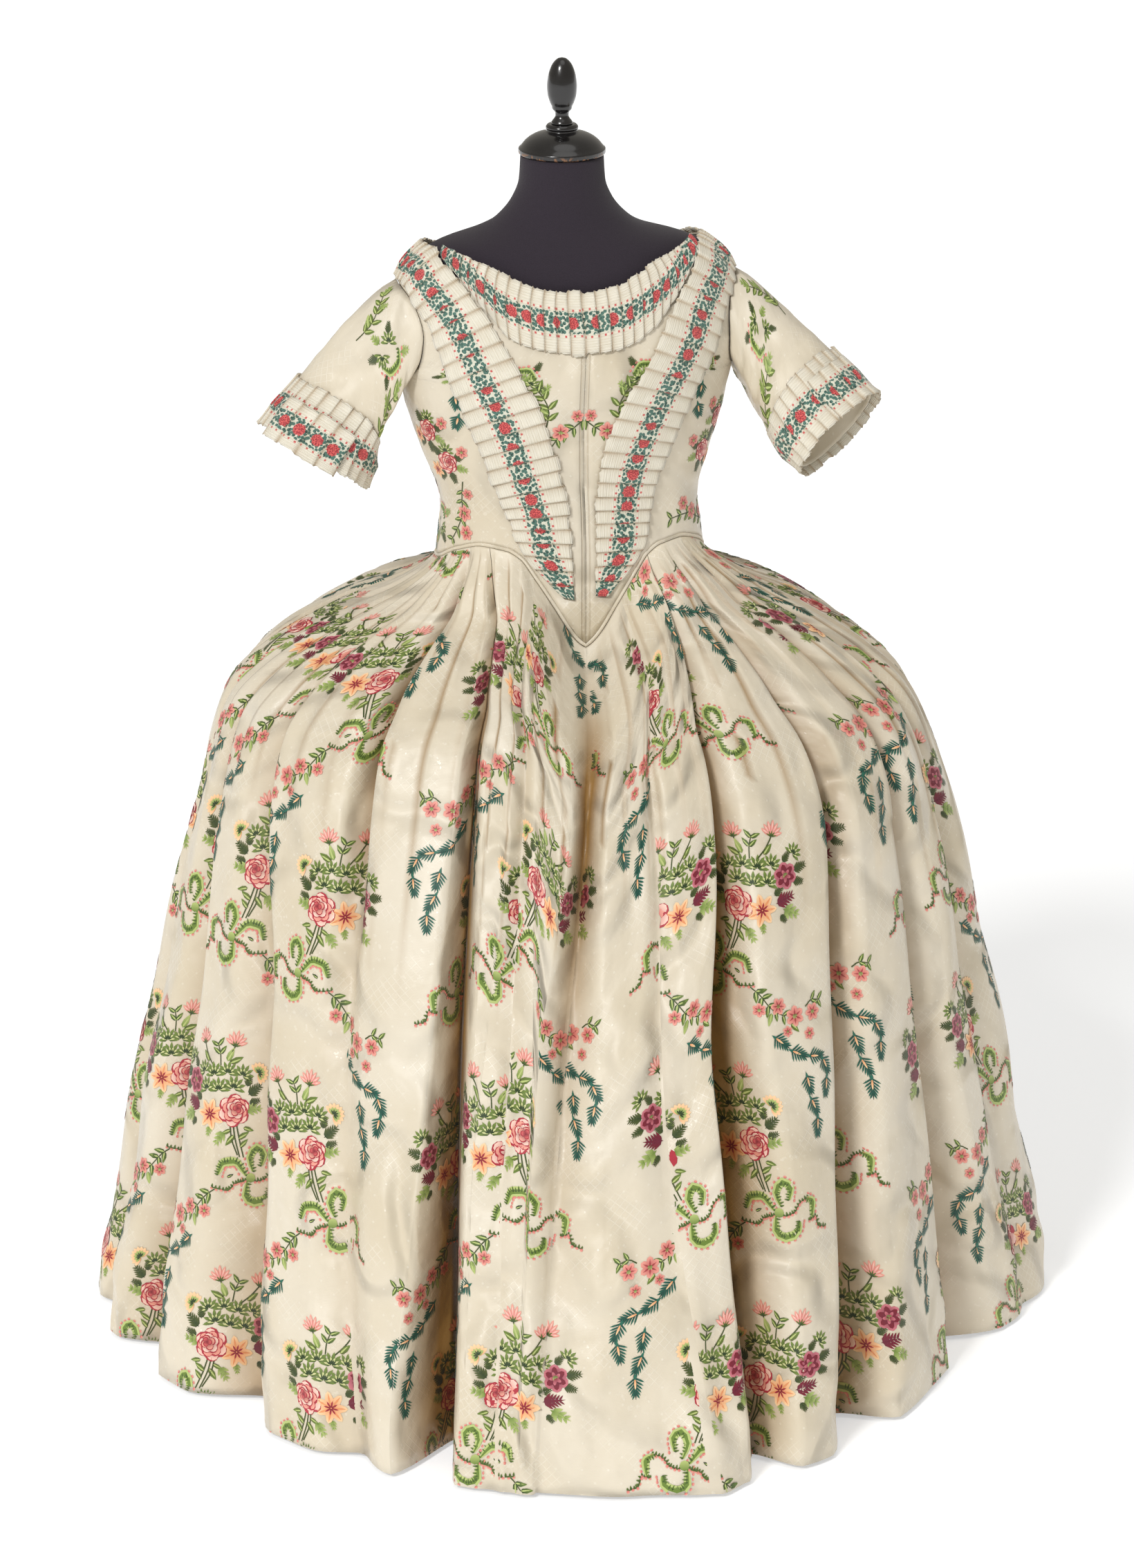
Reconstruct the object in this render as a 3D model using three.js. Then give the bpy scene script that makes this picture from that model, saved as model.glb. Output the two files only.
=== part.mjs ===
// An English gown of brocaded silk on its limbless dress form.
// Millimetres, +Z up. The gown faces -Y. Left and right are the wearer's own: left is +X.
// Every cloth piece is a wall between an outer and an inner surface worked out from the tables below.
import * as THREE from "three";

// ---------------------------------------------------------------- driving dimensions
const CLOTH = 2; // thickness of a cloth wall
const SEAM = 0.25; // each piece stops this far from the middle of a seam
const STAND_X = -12; // the stand's axis, beside the middle of the skirt
const BODY_TURN = THREE.MathUtils.degToRad(6); // the form and bodice are turned a little on the stand
const EASE_CHEST = 1; // from the body that the bodice is cut to out to the bodice's inside
const FORM_INSET = 2.1; // the form is this much smaller than that body at the shoulders
const FORM_INSET_WAIST = 3.5; // and this much at the waist
const PIPING_RADIUS = 1.9;
const HEM_Z = 6; // the hem hangs just clear of the floor
const BASE_RADIUS = 210;
const BASE_THICK = 24;
const POLE_RADIUS = 17;
const REST_GAP = 0.3; // between turned parts that stand on each other

const RIBBON_LIFT = 1.3; // from the silk under it to the ribbon's back
const RIBBON_THICK = 1.1;
const PLEAT_RISE = 2.2; // how far a knife pleat's edge stands up
const STRIP_PLEATS = 32;
const NECK_PLEATS = 28;
const CUFF_PLEATS = 24;
const BOW_PLEATS = 4;

// The body that the bodice fits, without anatomy: level sections from hip to neck.
// side, front and back are distances from the section's centre, square is the roundness exponent,
// shift moves the centre sideways.
const BODY = [
  { z: 760, side: 150, front: 95, back: 105, square: 2.2, shift: 8 },
  { z: 850, side: 172, front: 112, back: 126, square: 2.2, shift: 8 },
  { z: 920, side: 166, front: 118, back: 122, square: 2.2, shift: 8 },
  { z: 985, side: 160, front: 113, back: 105, square: 2.2, shift: 9 },
  { z: 1040, side: 154, front: 114, back: 101, square: 2.2, shift: 8 },
  { z: 1110, side: 174, front: 124, back: 108, square: 2.2, shift: 4 },
  { z: 1165, side: 191, front: 131, back: 112, square: 2.2, shift: 3 },
  { z: 1210, side: 200, front: 131, back: 114, square: 2.2, shift: 4 },
  { z: 1260, side: 207, front: 119, back: 114, square: 2.2, shift: 7 },
  { z: 1300, side: 205, front: 103, back: 108, square: 2.2, shift: 5 },
  { z: 1330, side: 196, front: 91, back: 98, square: 2.1, shift: 4 },
  { z: 1350, side: 177, front: 82, back: 88, square: 2, shift: 2 },
  { z: 1363, side: 152, front: 76, back: 80, square: 2, shift: 0 },
  { z: 1377, side: 105, front: 68, back: 70, square: 2, shift: -1 },
  { z: 1388, side: 84, front: 62, back: 62, square: 2, shift: 0 },
  { z: 1413, side: 62, front: 57, back: 57, square: 2, shift: 0 },
  { z: 1434, side: 54, front: 54, back: 54, square: 2, shift: 0 },
  { z: 1464, side: 52, front: 52, back: 52, square: 2, shift: 0 },
];

// Lower edge of the bodice from the point at the centre front (0) round to the centre back (180).
const WAISTLINE = [
  { angle: 0, z: 887 },
  { angle: 3, z: 899 },
  { angle: 10, z: 934 },
  { angle: 18, z: 968 },
  { angle: 26, z: 996 },
  { angle: 34, z: 1006 },
  { angle: 47, z: 1009 },
  { angle: 64, z: 999 },
  { angle: 90, z: 976 },
  { angle: 120, z: 971 },
  { angle: 150, z: 967 },
  { angle: 180, z: 961 },
];

// Rows of a bodice front from its lowest level row up to the shoulder seam.
// in is the centre front and then the neckline, out is the side seam and then the armhole.
const FRONT_ROWS = [
  { inAngle: 0, inZ: 1045, outAngle: 90, outZ: 1045 },
  { inAngle: 0, inZ: 1075, outAngle: 90, outZ: 1075 },
  { inAngle: 0, inZ: 1105, outAngle: 90, outZ: 1105 },
  { inAngle: 0, inZ: 1138, outAngle: 90, outZ: 1138 },
  { inAngle: 0, inZ: 1172, outAngle: 90, outZ: 1172 },
  { inAngle: 0, inZ: 1205, outAngle: 90, outZ: 1203 },
  { inAngle: 0, inZ: 1230, outAngle: 76, outZ: 1209 },
  { inAngle: 0, inZ: 1262, outAngle: 64, outZ: 1232 },
  { inAngle: 0, inZ: 1293, outAngle: 61, outZ: 1262 },
  { inAngle: 25, inZ: 1311, outAngle: 64, outZ: 1287 },
  { inAngle: 44, inZ: 1331, outAngle: 72, outZ: 1306 },
  { inAngle: 62, inZ: 1346, outAngle: 79, outZ: 1312 },
  { inAngle: 77, inZ: 1352, outAngle: 85, outZ: 1315 },
  { inAngle: 90, inZ: 1355, outAngle: 90, outZ: 1316 },
];
// The back has the same seams, with angles counted from the centre back.
const BACK_ROWS = [
  { inAngle: 0, inZ: 1045, outAngle: 90, outZ: 1045 },
  { inAngle: 0, inZ: 1085, outAngle: 90, outZ: 1075 },
  { inAngle: 0, inZ: 1125, outAngle: 90, outZ: 1105 },
  { inAngle: 0, inZ: 1165, outAngle: 90, outZ: 1138 },
  { inAngle: 0, inZ: 1205, outAngle: 90, outZ: 1172 },
  { inAngle: 0, inZ: 1242, outAngle: 90, outZ: 1203 },
  { inAngle: 0, inZ: 1272, outAngle: 76, outZ: 1209 },
  { inAngle: 0, inZ: 1296, outAngle: 66, outZ: 1232 },
  { inAngle: 0, inZ: 1318, outAngle: 63, outZ: 1262 },
  { inAngle: 25, inZ: 1326, outAngle: 66, outZ: 1287 },
  { inAngle: 46, inZ: 1338, outAngle: 73, outZ: 1306 },
  { inAngle: 63, inZ: 1348, outAngle: 79, outZ: 1312 },
  { inAngle: 77, inZ: 1353, outAngle: 85, outZ: 1315 },
  { inAngle: 90, inZ: 1355, outAngle: 90, outZ: 1316 },
];

// Middle line of each sleeve, out from the armhole, with its half height and half depth.
const SLEEVES = {
  left: [
    { along: 0, x: 216, y: 0, z: 1264, high: 62, deep: 56 },
    { along: 0.33, x: 250, y: -22, z: 1212, high: 70, deep: 54 },
    { along: 0.67, x: 288, y: -48, z: 1170, high: 68, deep: 53 },
    { along: 1, x: 325, y: -74, z: 1137, high: 61, deep: 53 },
  ],
  right: [
    { along: 0, x: -208, y: 0, z: 1262, high: 62, deep: 56 },
    { along: 0.33, x: -243, y: -9, z: 1203, high: 68, deep: 54 },
    { along: 0.67, x: -273, y: -17, z: 1152, high: 69, deep: 54 },
    { along: 1, x: -300, y: -26, z: 1110, high: 70, deep: 55 },
  ],
};
const SLEEVE_ROWS = [0, 0.07, 0.18, 0.32, 0.46, 0.6, 0.825, 1];
const SLEEVE_SIDES = 16; // one for each row of the bodice that ends at the armhole
const CUFF_FROM = 0.6; // the cuff ribbon starts here along the sleeve
const CUFF_TO = 1.05; // and ends just past the silk

// Outer and inner edge of the two ribbon strips, from the back neckline over the shoulder
// and down the front to the lower edge of the bodice. Angles are on the body, z is the height.
const STRIPS = {
  left: [
    { outAngle: 122, outZ: 1296, inAngle: 140, inZ: 1336 },
    { outAngle: 100, outZ: 1318, inAngle: 112, inZ: 1354 },
    { outAngle: 82, outZ: 1318, inAngle: 74, inZ: 1358 },
    { outAngle: 59, outZ: 1281, inAngle: 37, inZ: 1315 },
    { outAngle: 47, outZ: 1216, inAngle: 22, inZ: 1246 },
    { outAngle: 37, outZ: 1148, inAngle: 10, inZ: 1169 },
    { outAngle: 31, outZ: 1080, inAngle: 4, inZ: 1090 },
    { outAngle: 27, outZ: 1015, inAngle: 3, inZ: 1018 },
    { outAngle: 7, outZ: 944, inAngle: 3, inZ: 946 },
  ],
  right: [
    { outAngle: 122, outZ: 1296, inAngle: 140, inZ: 1336 },
    { outAngle: 100, outZ: 1318, inAngle: 112, inZ: 1354 },
    { outAngle: 82, outZ: 1318, inAngle: 74, inZ: 1358 },
    { outAngle: 59, outZ: 1281, inAngle: 38, inZ: 1315 },
    { outAngle: 48, outZ: 1212, inAngle: 23, inZ: 1244 },
    { outAngle: 40, outZ: 1140, inAngle: 12, inZ: 1168 },
    { outAngle: 36, outZ: 1070, inAngle: 7, inZ: 1088 },
    { outAngle: 29, outZ: 1014, inAngle: 5, inZ: 1012 },
    { outAngle: 8, outZ: 945, inAngle: 4, inZ: 942 },
  ],
};
// The neckline ribbon fills the space between the strips, from one shoulder to the other.
const NECK_RIBBON = [
  { upAngle: -60, upZ: 1359, lowAngle: -57, lowZ: 1351 },
  { upAngle: -50, upZ: 1355, lowAngle: -44, lowZ: 1331 },
  { upAngle: -36, upZ: 1346, lowAngle: -32, lowZ: 1300 },
  { upAngle: -22, upZ: 1332, lowAngle: -22, lowZ: 1264 },
  { upAngle: -10, upZ: 1321, lowAngle: -11, lowZ: 1250 },
  { upAngle: 0, upZ: 1317, lowAngle: 0, lowZ: 1246 },
  { upAngle: 11, upZ: 1322, lowAngle: 10, lowZ: 1250 },
  { upAngle: 23, upZ: 1336, lowAngle: 20, lowZ: 1267 },
  { upAngle: 36, upZ: 1347, lowAngle: 31, lowZ: 1300 },
  { upAngle: 50, upZ: 1355, lowAngle: 44, lowZ: 1331 },
  { upAngle: 60, upZ: 1359, lowAngle: 57, lowZ: 1351 },
];

// The skirt's dome before it is folded: half width, and depth in front and behind, at each height.
// pinch flattens all four diagonals, lean flattens the one at the left front, towards the side.
const DOME = [
  { z: 0, side: 600, front: 657, back: 652, pinch: 35, lean: 55 },
  { z: 87, side: 588, front: 636, back: 634, pinch: 32, lean: 50 },
  { z: 224, side: 562, front: 592, back: 598, pinch: 28, lean: 38 },
  { z: 361, side: 537, front: 546, back: 558, pinch: 22, lean: 28 },
  { z: 517, side: 502, front: 488, back: 508, pinch: 16, lean: 16 },
  { z: 670, side: 463, front: 422, back: 462, pinch: 9, lean: 6 },
  { z: 740, side: 443, front: 380, back: 440, pinch: 6, lean: 0 },
  { z: 802, side: 415, front: 334, back: 413, pinch: 3, lean: 0 },
  { z: 852, side: 363, front: 275, back: 363, pinch: 0, lean: 0 },
  { z: 897, side: 295, front: 215, back: 300, pinch: 0, lean: 0 },
  { z: 937, side: 226, front: 170, back: 238, pinch: 0, lean: 0 },
  { z: 1010, side: 170, front: 140, back: 160, pinch: 0, lean: 0 },
];
// Sideways place of the dome's centre.
const DOME_SHIFT = [
  { z: 0, x: 15 },
  { z: 600, x: 15 },
  { z: 740, x: 12 },
  { z: 850, x: 7 },
  { z: 930, x: 13 },
  { z: 1000, x: 8 },
];
// How far down the skirt each row of the wall lies.
const SKIRT_ROWS = [0, 0.025, 0.06, 0.1, 0.155, 0.24, 0.38, 0.6, 1];
// The four levels at which a fold is described, as shares of the way down.
const LEVEL = { waist: 0, hip: 0.16, knee: 0.55, hem: 1 };

// The skirt's folds, round from the right side over the front to the back: one row for each hollow.
// waist, hip, knee and hem: its angle from the centre front at each level.
// hipDeep, kneeDeep, hemDeep: how far it is pressed in. A fold of depth 0 has opened out flat.
// kneeBack, kneeFore, hemBack, hemFore: width of the slope on its lower-angle and higher-angle side.
const FOLDS = [
  ["backRight3", -166, -165, -164, -163, 22, 44, 58, 4, 9, 4, 8],
  ["backRight2", -148, -147, -146, -145, 24, 38, 52, 4, 9, 4, 9],
  ["pleatBackRight", -134, -134, -133, -132, 14, 10, 0, 4, 6, 4, 6],
  ["backRight1", -121, -121, -122, -122, 22, 36, 55, 5, 9, 5, 8],
  ["sideSeamRight", -103, -104, -104, -104, 20, 28, 40, 6, 6, 6, 6],
  ["sideRight2", -88, -91, -88, -85, 16, 24, 42, 5, 6, 5, 6],
  ["sideRight1", -76, -80, -72, -70, 12, 30, 78, 6, 4, 7, 6],
  ["frontRight3", -64, -66, -55, -50, 14, 26, 62, 8, 5, 8, 8],
  ["slitRight", -50, -45, -38, -29, 40, 10, 24, 5, 4, 6, 4],
  ["panelRight", -37, -25, -22, -20, 30, 62, 125, 2.5, 6, 5, 3.2],
  ["frontPleatRight", -13, -13, -13, -12, 10, 6, 0, 4, 4, 4, 4],
  ["underPoint", 6, -1, -6, -8, 40, 20, 0, 5, 6, 6, 6],
  ["frontPleatLeft", 18, 12, 8, 11, 9, 6, -24, 4, 4, 8, 3],
  ["panelLeft", 31, 26, 17, 17.5, 34, 74, 60, 2.5, 8, 2.8, 4],
  ["frontLeft2", 43, 47, 38, 33, 32, 56, 76, 3.5, 7, 8, 6],
  ["sideLeft1", 55, 63, 59, 63, 30, 44, 54, 3.5, 7, 8, 8],
  ["sideLeft2", 68, 77, 75, 79, 24, 14, 4, 4, 7, 5, 6],
  ["sideSeamLeft", 84, 93, 94, 97, 18, 26, 44, 5, 6, 6, 6],
  ["sideLeft3", 101, 108, 110, 112, 16, 30, 44, 5, 6, 5, 6],
  ["pleatBackLeft", 120, 122, 122, 122, 14, 10, 0, 4, 5, 4, 4],
  ["backLeft1", 135, 134, 135, 135, 22, 38, 52, 9, 4, 9, 4],
  ["backLeft2", 152, 151, 151, 151, 24, 40, 56, 9, 4, 8, 4],
  ["backLeft3", 167, 166, 166, 165, 24, 40, 48, 9, 4, 8, 4],
  ["centreBack", 181, 181, 181, 181, 26, 44, 60, 4, 4, 5, 5],
].map((row) => {
  const [name, waist, hip, knee, hem, hipDeep, kneeDeep, hemDeep, ...slopes] = row;
  const [kneeBack, kneeFore, hemBack, hemFore] = slopes;
  return { name, waist, hip, knee, hem, hipDeep, kneeDeep, hemDeep, kneeBack, kneeFore, hemBack, hemFore };
});
// Each skirt panel runs from the bottom of one fold to the bottom of another.
const SKIRT_PANELS = [
  { name: "skirt_front", from: "panelRight", to: "panelLeft" },
  { name: "skirt_side_left", from: "panelLeft", to: "sideSeamLeft" },
  { name: "skirt_back_left", from: "sideSeamLeft", to: "centreBack" },
  { name: "skirt_back_right", from: "centreBack", to: "sideSeamRight" },
  { name: "skirt_side_right", from: "sideSeamRight", to: "panelRight" },
];

// ---------------------------------------------------------------- materials
const cloth = (name, color, roughness) =>
  new THREE.MeshStandardMaterial({ name, color, roughness, metalness: 0 });
const SILK = cloth("brocaded_silk", 0xe2d6bd, 0.5);
const RIBBON = cloth("woven_ribbon", 0xece5d4, 0.65);
const JERSEY = cloth("form_jersey", 0x2f2733, 0.9);
const LACQUER = cloth("black_lacquer", 0x0c0b0c, 0.25);

// ---------------------------------------------------------------- helpers
const { degToRad, lerp, clamp } = THREE.MathUtils;

// A smooth value between the rows of a table: cubic steps that never overshoot a row.
function read(rows, key, column, at) {
  const last = rows.length - 1;
  if (at <= rows[0][key]) return rows[0][column];
  if (at >= rows[last][key]) return rows[last][column];
  let i = 0;
  while (at > rows[i + 1][key]) i += 1;
  const slope = (k) =>
    (rows[k + 1][column] - rows[k][column]) / (rows[k + 1][key] - rows[k][key]);
  const tangent = (k) => {
    if (k === 0) return slope(0);
    if (k === last) return slope(last - 1);
    const before = slope(k - 1);
    const after = slope(k);
    return before * after > 0 ? (2 * before * after) / (before + after) : 0;
  };
  const span = rows[i + 1][key] - rows[i][key];
  const t = (at - rows[i][key]) / span;
  const a = rows[i][column];
  const b = rows[i + 1][column];
  const ta = tangent(i) * span;
  const tb = tangent(i + 1) * span;
  return (
    a * (2 * t ** 3 - 3 * t ** 2 + 1) +
    ta * (t ** 3 - 2 * t ** 2 + t) +
    b * (3 * t ** 2 - 2 * t ** 3) +
    tb * (t ** 3 - t ** 2)
  );
}

// A row between the evenly spaced rows of a table, at a share from 0 to 1 of its length.
function rowAt(rows, share) {
  const numbered = rows.map((row, i) => ({ ...row, share: i / (rows.length - 1) }));
  return Object.fromEntries(
    Object.keys(rows[0]).map((column) => [column, read(numbered, "share", column, share)]),
  );
}

const signedPower = (value, power) => Math.sign(value) * Math.abs(value) ** power;

// The body's surface at an angle from the centre front and a height.
function bodyPoint(angle, z) {
  const a = degToRad(angle);
  const side = read(BODY, "z", "side", z);
  const depth = read(BODY, "z", Math.cos(a) > 0 ? "front" : "back", z);
  const power = 2 / read(BODY, "z", "square", z);
  return new THREE.Vector3(side * signedPower(Math.sin(a), power), -depth * signedPower(Math.cos(a), power), z)
    .applyAxisAngle(new THREE.Vector3(0, 0, 1), BODY_TURN)
    .add(new THREE.Vector3(read(BODY, "z", "shift", z) + STAND_X, 0, 0));
}

function bodyNormal(angle, z) {
  const across = bodyPoint(angle + 1, z).sub(bodyPoint(angle - 1, z));
  const up = bodyPoint(angle, z + 1).sub(bodyPoint(angle, z - 1));
  return across.cross(up).normalize();
}

// The body's surface moved out by a distance.
const onBody = (angle, z, out) => bodyPoint(angle, z).addScaledVector(bodyNormal(angle, z), out);

const waistZ = (angle) => read(WAISTLINE, "angle", "z", Math.abs(angle));

// A point below the bodice's lower edge, measured square to that edge in the cloth.
function belowWaist(angle, down, out) {
  const step = 1.5;
  const edge = bodyPoint(angle + step, waistZ(angle + step))
    .sub(bodyPoint(angle - step, waistZ(angle - step)))
    .normalize();
  const normal = bodyNormal(angle, waistZ(angle));
  const square = new THREE.Vector3().crossVectors(edge, normal).normalize();
  if (square.z > 0) square.negate();
  return bodyPoint(angle, waistZ(angle)).addScaledVector(square, down).addScaledVector(normal, out);
}

// A closed wall between two grids of points. Rows run one way, columns the other.
// loop joins the last column to the first.
function wall(outer, inner, loop = false) {
  const rows = outer.length;
  const columns = outer[0].length;
  const positions = [...outer.flat(), ...inner.flat()].flatMap((p) => [p.x, p.y, p.z]);
  const index = [];
  const id = (grid, row, column) => grid * rows * columns + row * columns + (column % columns);
  const quad = (a, b, c, d) => index.push(a, b, c, a, c, d);
  const spans = loop ? columns : columns - 1;
  for (let row = 0; row < rows - 1; row += 1)
    for (let column = 0; column < spans; column += 1) {
      quad(id(0, row, column), id(0, row, column + 1), id(0, row + 1, column + 1), id(0, row + 1, column));
      quad(id(1, row, column), id(1, row + 1, column), id(1, row + 1, column + 1), id(1, row, column + 1));
    }
  for (let column = 0; column < spans; column += 1) {
    quad(id(0, 0, column), id(1, 0, column), id(1, 0, column + 1), id(0, 0, column + 1));
    const end = rows - 1;
    quad(id(0, end, column), id(0, end, column + 1), id(1, end, column + 1), id(1, end, column));
  }
  if (!loop)
    for (let row = 0; row < rows - 1; row += 1) {
      quad(id(0, row, 0), id(0, row + 1, 0), id(1, row + 1, 0), id(1, row, 0));
      const end = columns - 1;
      quad(id(0, row, end), id(1, row, end), id(1, row + 1, end), id(0, row + 1, end));
    }
  return facingOut(positions, index);
}

// Turns the faces round if the body is inside out.
function facingOut(positions, index) {
  const point = (i) => new THREE.Vector3().fromArray(positions, 3 * i);
  let volume = 0;
  for (let i = 0; i < index.length; i += 3)
    volume += point(index[i]).dot(point(index[i + 1]).cross(point(index[i + 2])));
  if (volume < 0) index.reverse();
  return new THREE.BufferGeometry()
    .setAttribute("position", new THREE.Float32BufferAttribute(positions, 3))
    .setIndex(index);
}

// A closed solid through level rings, with a flat end at each side.
function lofted(rings) {
  const sides = rings[0].length;
  const positions = rings.flat().flatMap((p) => [p.x, p.y, p.z]);
  const index = [];
  for (let ring = 0; ring < rings.length - 1; ring += 1)
    for (let side = 0; side < sides; side += 1) {
      const a = ring * sides + side;
      const b = ring * sides + ((side + 1) % sides);
      index.push(a, b, b + sides, a, b + sides, a + sides);
    }
  for (const [ring, turn] of [[rings[0], 1], [rings.at(-1), -1]]) {
    const centre = ring.reduce((sum, p) => sum.add(p), new THREE.Vector3()).divideScalar(sides);
    const hub = positions.length / 3;
    const first = ring === rings[0] ? 0 : (rings.length - 1) * sides;
    positions.push(centre.x, centre.y, centre.z);
    for (let side = 0; side < sides; side += 1) {
      const next = first + ((side + 1) % sides);
      index.push(...(turn > 0 ? [hub, next, first + side] : [hub, first + side, next]));
    }
  }
  return facingOut(positions, index);
}

// A solid of revolution about the stand's axis from radius and height pairs, lowest first.
function turned(profile, sides) {
  const points = profile.map(([radius, z]) => new THREE.Vector2(radius, z));
  const geometry = new THREE.LatheGeometry(points, sides);
  return geometry.rotateX(Math.PI / 2).translate(STAND_X, 0, 0);
}

const gown = new THREE.Group();
gown.name = "english_gown_on_dress_form";

function add(name, geometry, material) {
  const mesh = new THREE.Mesh(geometry, material.clone());
  mesh.name = name;
  gown.add(mesh);
}

const range = (count) => [...Array(count).keys()];
const SIDES = [
  { side: "left", sign: 1 },
  { side: "right", sign: -1 },
];

// ---------------------------------------------------------------- dress form
const FORM_SIDES = 32;

function formRing(z) {
  const ease = THREE.MathUtils.smoothstep(1230 - z, 0, 120);
  const inset = lerp(FORM_INSET, FORM_INSET_WAIST, ease);
  return range(FORM_SIDES).map((i) => onBody((i * 360) / FORM_SIDES, z, -inset));
}

add("form_torso", lofted(BODY.map((row) => formRing(row.z))), JERSEY);

const NECK_TOP = BODY.at(-1).z;
const CAP_RADIUS = 52.5;
const CAP_TOP = NECK_TOP + 37;
add(
  "form_cap",
  turned(
    [
      [0, NECK_TOP + REST_GAP],
      [CAP_RADIUS - 2, NECK_TOP + REST_GAP],
      [CAP_RADIUS, NECK_TOP + 3],
      [CAP_RADIUS, NECK_TOP + 7],
      [CAP_RADIUS - 5, NECK_TOP + 13],
      [CAP_RADIUS - 12, NECK_TOP + 19],
      [CAP_RADIUS - 24, NECK_TOP + 26],
      [19, NECK_TOP + 29],
      [19.5, NECK_TOP + 33],
      [17, CAP_TOP],
      [0, CAP_TOP],
    ],
    24,
  ),
  LACQUER,
);

const FINIAL_HEIGHT = 80;
const FINIAL_RADIUS = 18;
// Radius of the finial at shares of its height: a foot, a narrow neck and an egg.
const FINIAL = [
  [0, 0],
  [0.72, 0],
  [0.6, 0.05],
  [0.44, 0.12],
  [0.5, 0.18],
  [0.8, 0.31],
  [0.97, 0.45],
  [1, 0.57],
  [0.93, 0.72],
  [0.72, 0.87],
  [0.4, 0.965],
  [0, 1],
];
add(
  "form_finial",
  turned(
    FINIAL.map(([wide, high]) => [wide * FINIAL_RADIUS, CAP_TOP + REST_GAP + high * FINIAL_HEIGHT]),
    16,
  ),
  LACQUER,
);

const POLE_TOP = BODY[0].z - REST_GAP;
const POLE_FOOT = BASE_THICK + REST_GAP;
add(
  "form_pole",
  new THREE.CylinderGeometry(POLE_RADIUS, POLE_RADIUS, POLE_TOP - POLE_FOOT, 20)
    .rotateX(Math.PI / 2)
    .translate(STAND_X, 0, (POLE_TOP + POLE_FOOT) / 2),
  LACQUER,
);
add(
  "form_base",
  turned(
    [
      [0, 0],
      [BASE_RADIUS - 3, 0],
      [BASE_RADIUS, 4],
      [BASE_RADIUS - 2, 10],
      [BASE_RADIUS - 14, 15],
      [60, BASE_THICK - 4],
      [40, BASE_THICK],
      [0, BASE_THICK],
    ],
    32,
  ),
  LACQUER,
);

// ---------------------------------------------------------------- bodice
const BODICE_IN = EASE_CHEST;
const BODICE_OUT = EASE_CHEST + CLOTH;
const FRONT_COLUMNS = [0, 0.035, 0.1, 0.18, 0.26, 0.33, 0.41, 0.52, 0.65, 0.77, 0.89, 1];
const BACK_COLUMNS = [0, 0.16, 0.3, 0.4, 0.5, 0.62, 0.76, 0.89, 1];
const BODICE_SKIRTING = [0, 0.25, 0.5, 0.75]; // rows between the waistline and the first level row

// Angle and height of a bodice panel's points. angleOf turns a panel angle into a body angle.
function bodicePanel(rows, columns, angleOf) {
  const middle = bodyAngleGap(angleOf);
  const grid = [];
  for (const up of BODICE_SKIRTING)
    grid.push(
      columns.map((across) => {
        const angle = middle(90 * across);
        return { angle, z: lerp(waistZ(angle), rows[0].inZ, up) };
      }),
    );
  for (const row of rows)
    grid.push(
      columns.map((across) => ({
        angle: middle(lerp(row.inAngle, row.outAngle, across)),
        z: lerp(row.inZ, row.outZ, across),
      })),
    );
  return grid;
}

// Keeps a panel's edges a seam's half gap away from the centre line and from the side line.
function bodyAngleGap(angleOf) {
  const gap = 0.16;
  return (angle) => angleOf(clamp(angle, gap, 90 - gap));
}

function bodiceWall(points) {
  const surface = (out) => points.map((row) => row.map(({ angle, z }) => onBody(angle, z, out)));
  return wall(surface(BODICE_OUT), surface(BODICE_IN));
}

for (const { side, sign } of SIDES) {
  const front = bodicePanel(FRONT_ROWS, FRONT_COLUMNS, (angle) => sign * angle);
  const back = bodicePanel(BACK_ROWS, BACK_COLUMNS, (angle) => sign * (180 - angle));
  add(`bodice_front_${side}`, bodiceWall(front), SILK);
  add(`bodice_back_${side}`, bodiceWall(back), SILK);
}

// Piping sewn round the bodice's lower edge.
const PIPING_SIDES = 5;
const PIPING_DOWN = PIPING_RADIUS + 0.5;
const halfRound = [...FRONT_COLUMNS, ...[...BACK_COLUMNS].reverse().slice(1).map((share) => 2 - share)];
const pipingAngles = [...halfRound, ...halfRound.slice(1, -1).reverse().map((share) => -share)].map(
  (share) => 90 * share,
);
const pipingCentres = pipingAngles.map((angle) => belowWaist(angle, PIPING_DOWN, EASE_CHEST + CLOTH / 2));
function pipingGrid() {
  return pipingCentres.map((centre, i) => {
    const next = pipingCentres[(i + 1) % pipingAngles.length];
    const before = pipingCentres[(i + pipingAngles.length - 1) % pipingAngles.length];
    const along = next.clone().sub(before).normalize();
    const out = bodyNormal(pipingAngles[i], waistZ(pipingAngles[i]));
    const square = new THREE.Vector3().crossVectors(along, out).normalize();
    return range(PIPING_SIDES).map((k) => {
      const turn = (2 * Math.PI * k) / PIPING_SIDES;
      return centre
        .clone()
        .addScaledVector(out, PIPING_RADIUS * Math.cos(turn))
        .addScaledVector(square, PIPING_RADIUS * Math.sin(turn));
    });
  });
}
function ringTube(grid) {
  const positions = grid.flat().flatMap((p) => [p.x, p.y, p.z]);
  const steps = grid.length;
  const sides = grid[0].length;
  const index = [];
  for (let i = 0; i < steps; i += 1)
    for (let k = 0; k < sides; k += 1) {
      const a = i * sides + k;
      const b = i * sides + ((k + 1) % sides);
      const c = ((i + 1) % steps) * sides + ((k + 1) % sides);
      const d = ((i + 1) % steps) * sides + k;
      index.push(a, b, c, a, c, d);
    }
  return facingOut(positions, index);
}
add("waist_piping", ringTube(pipingGrid()), SILK);

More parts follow.
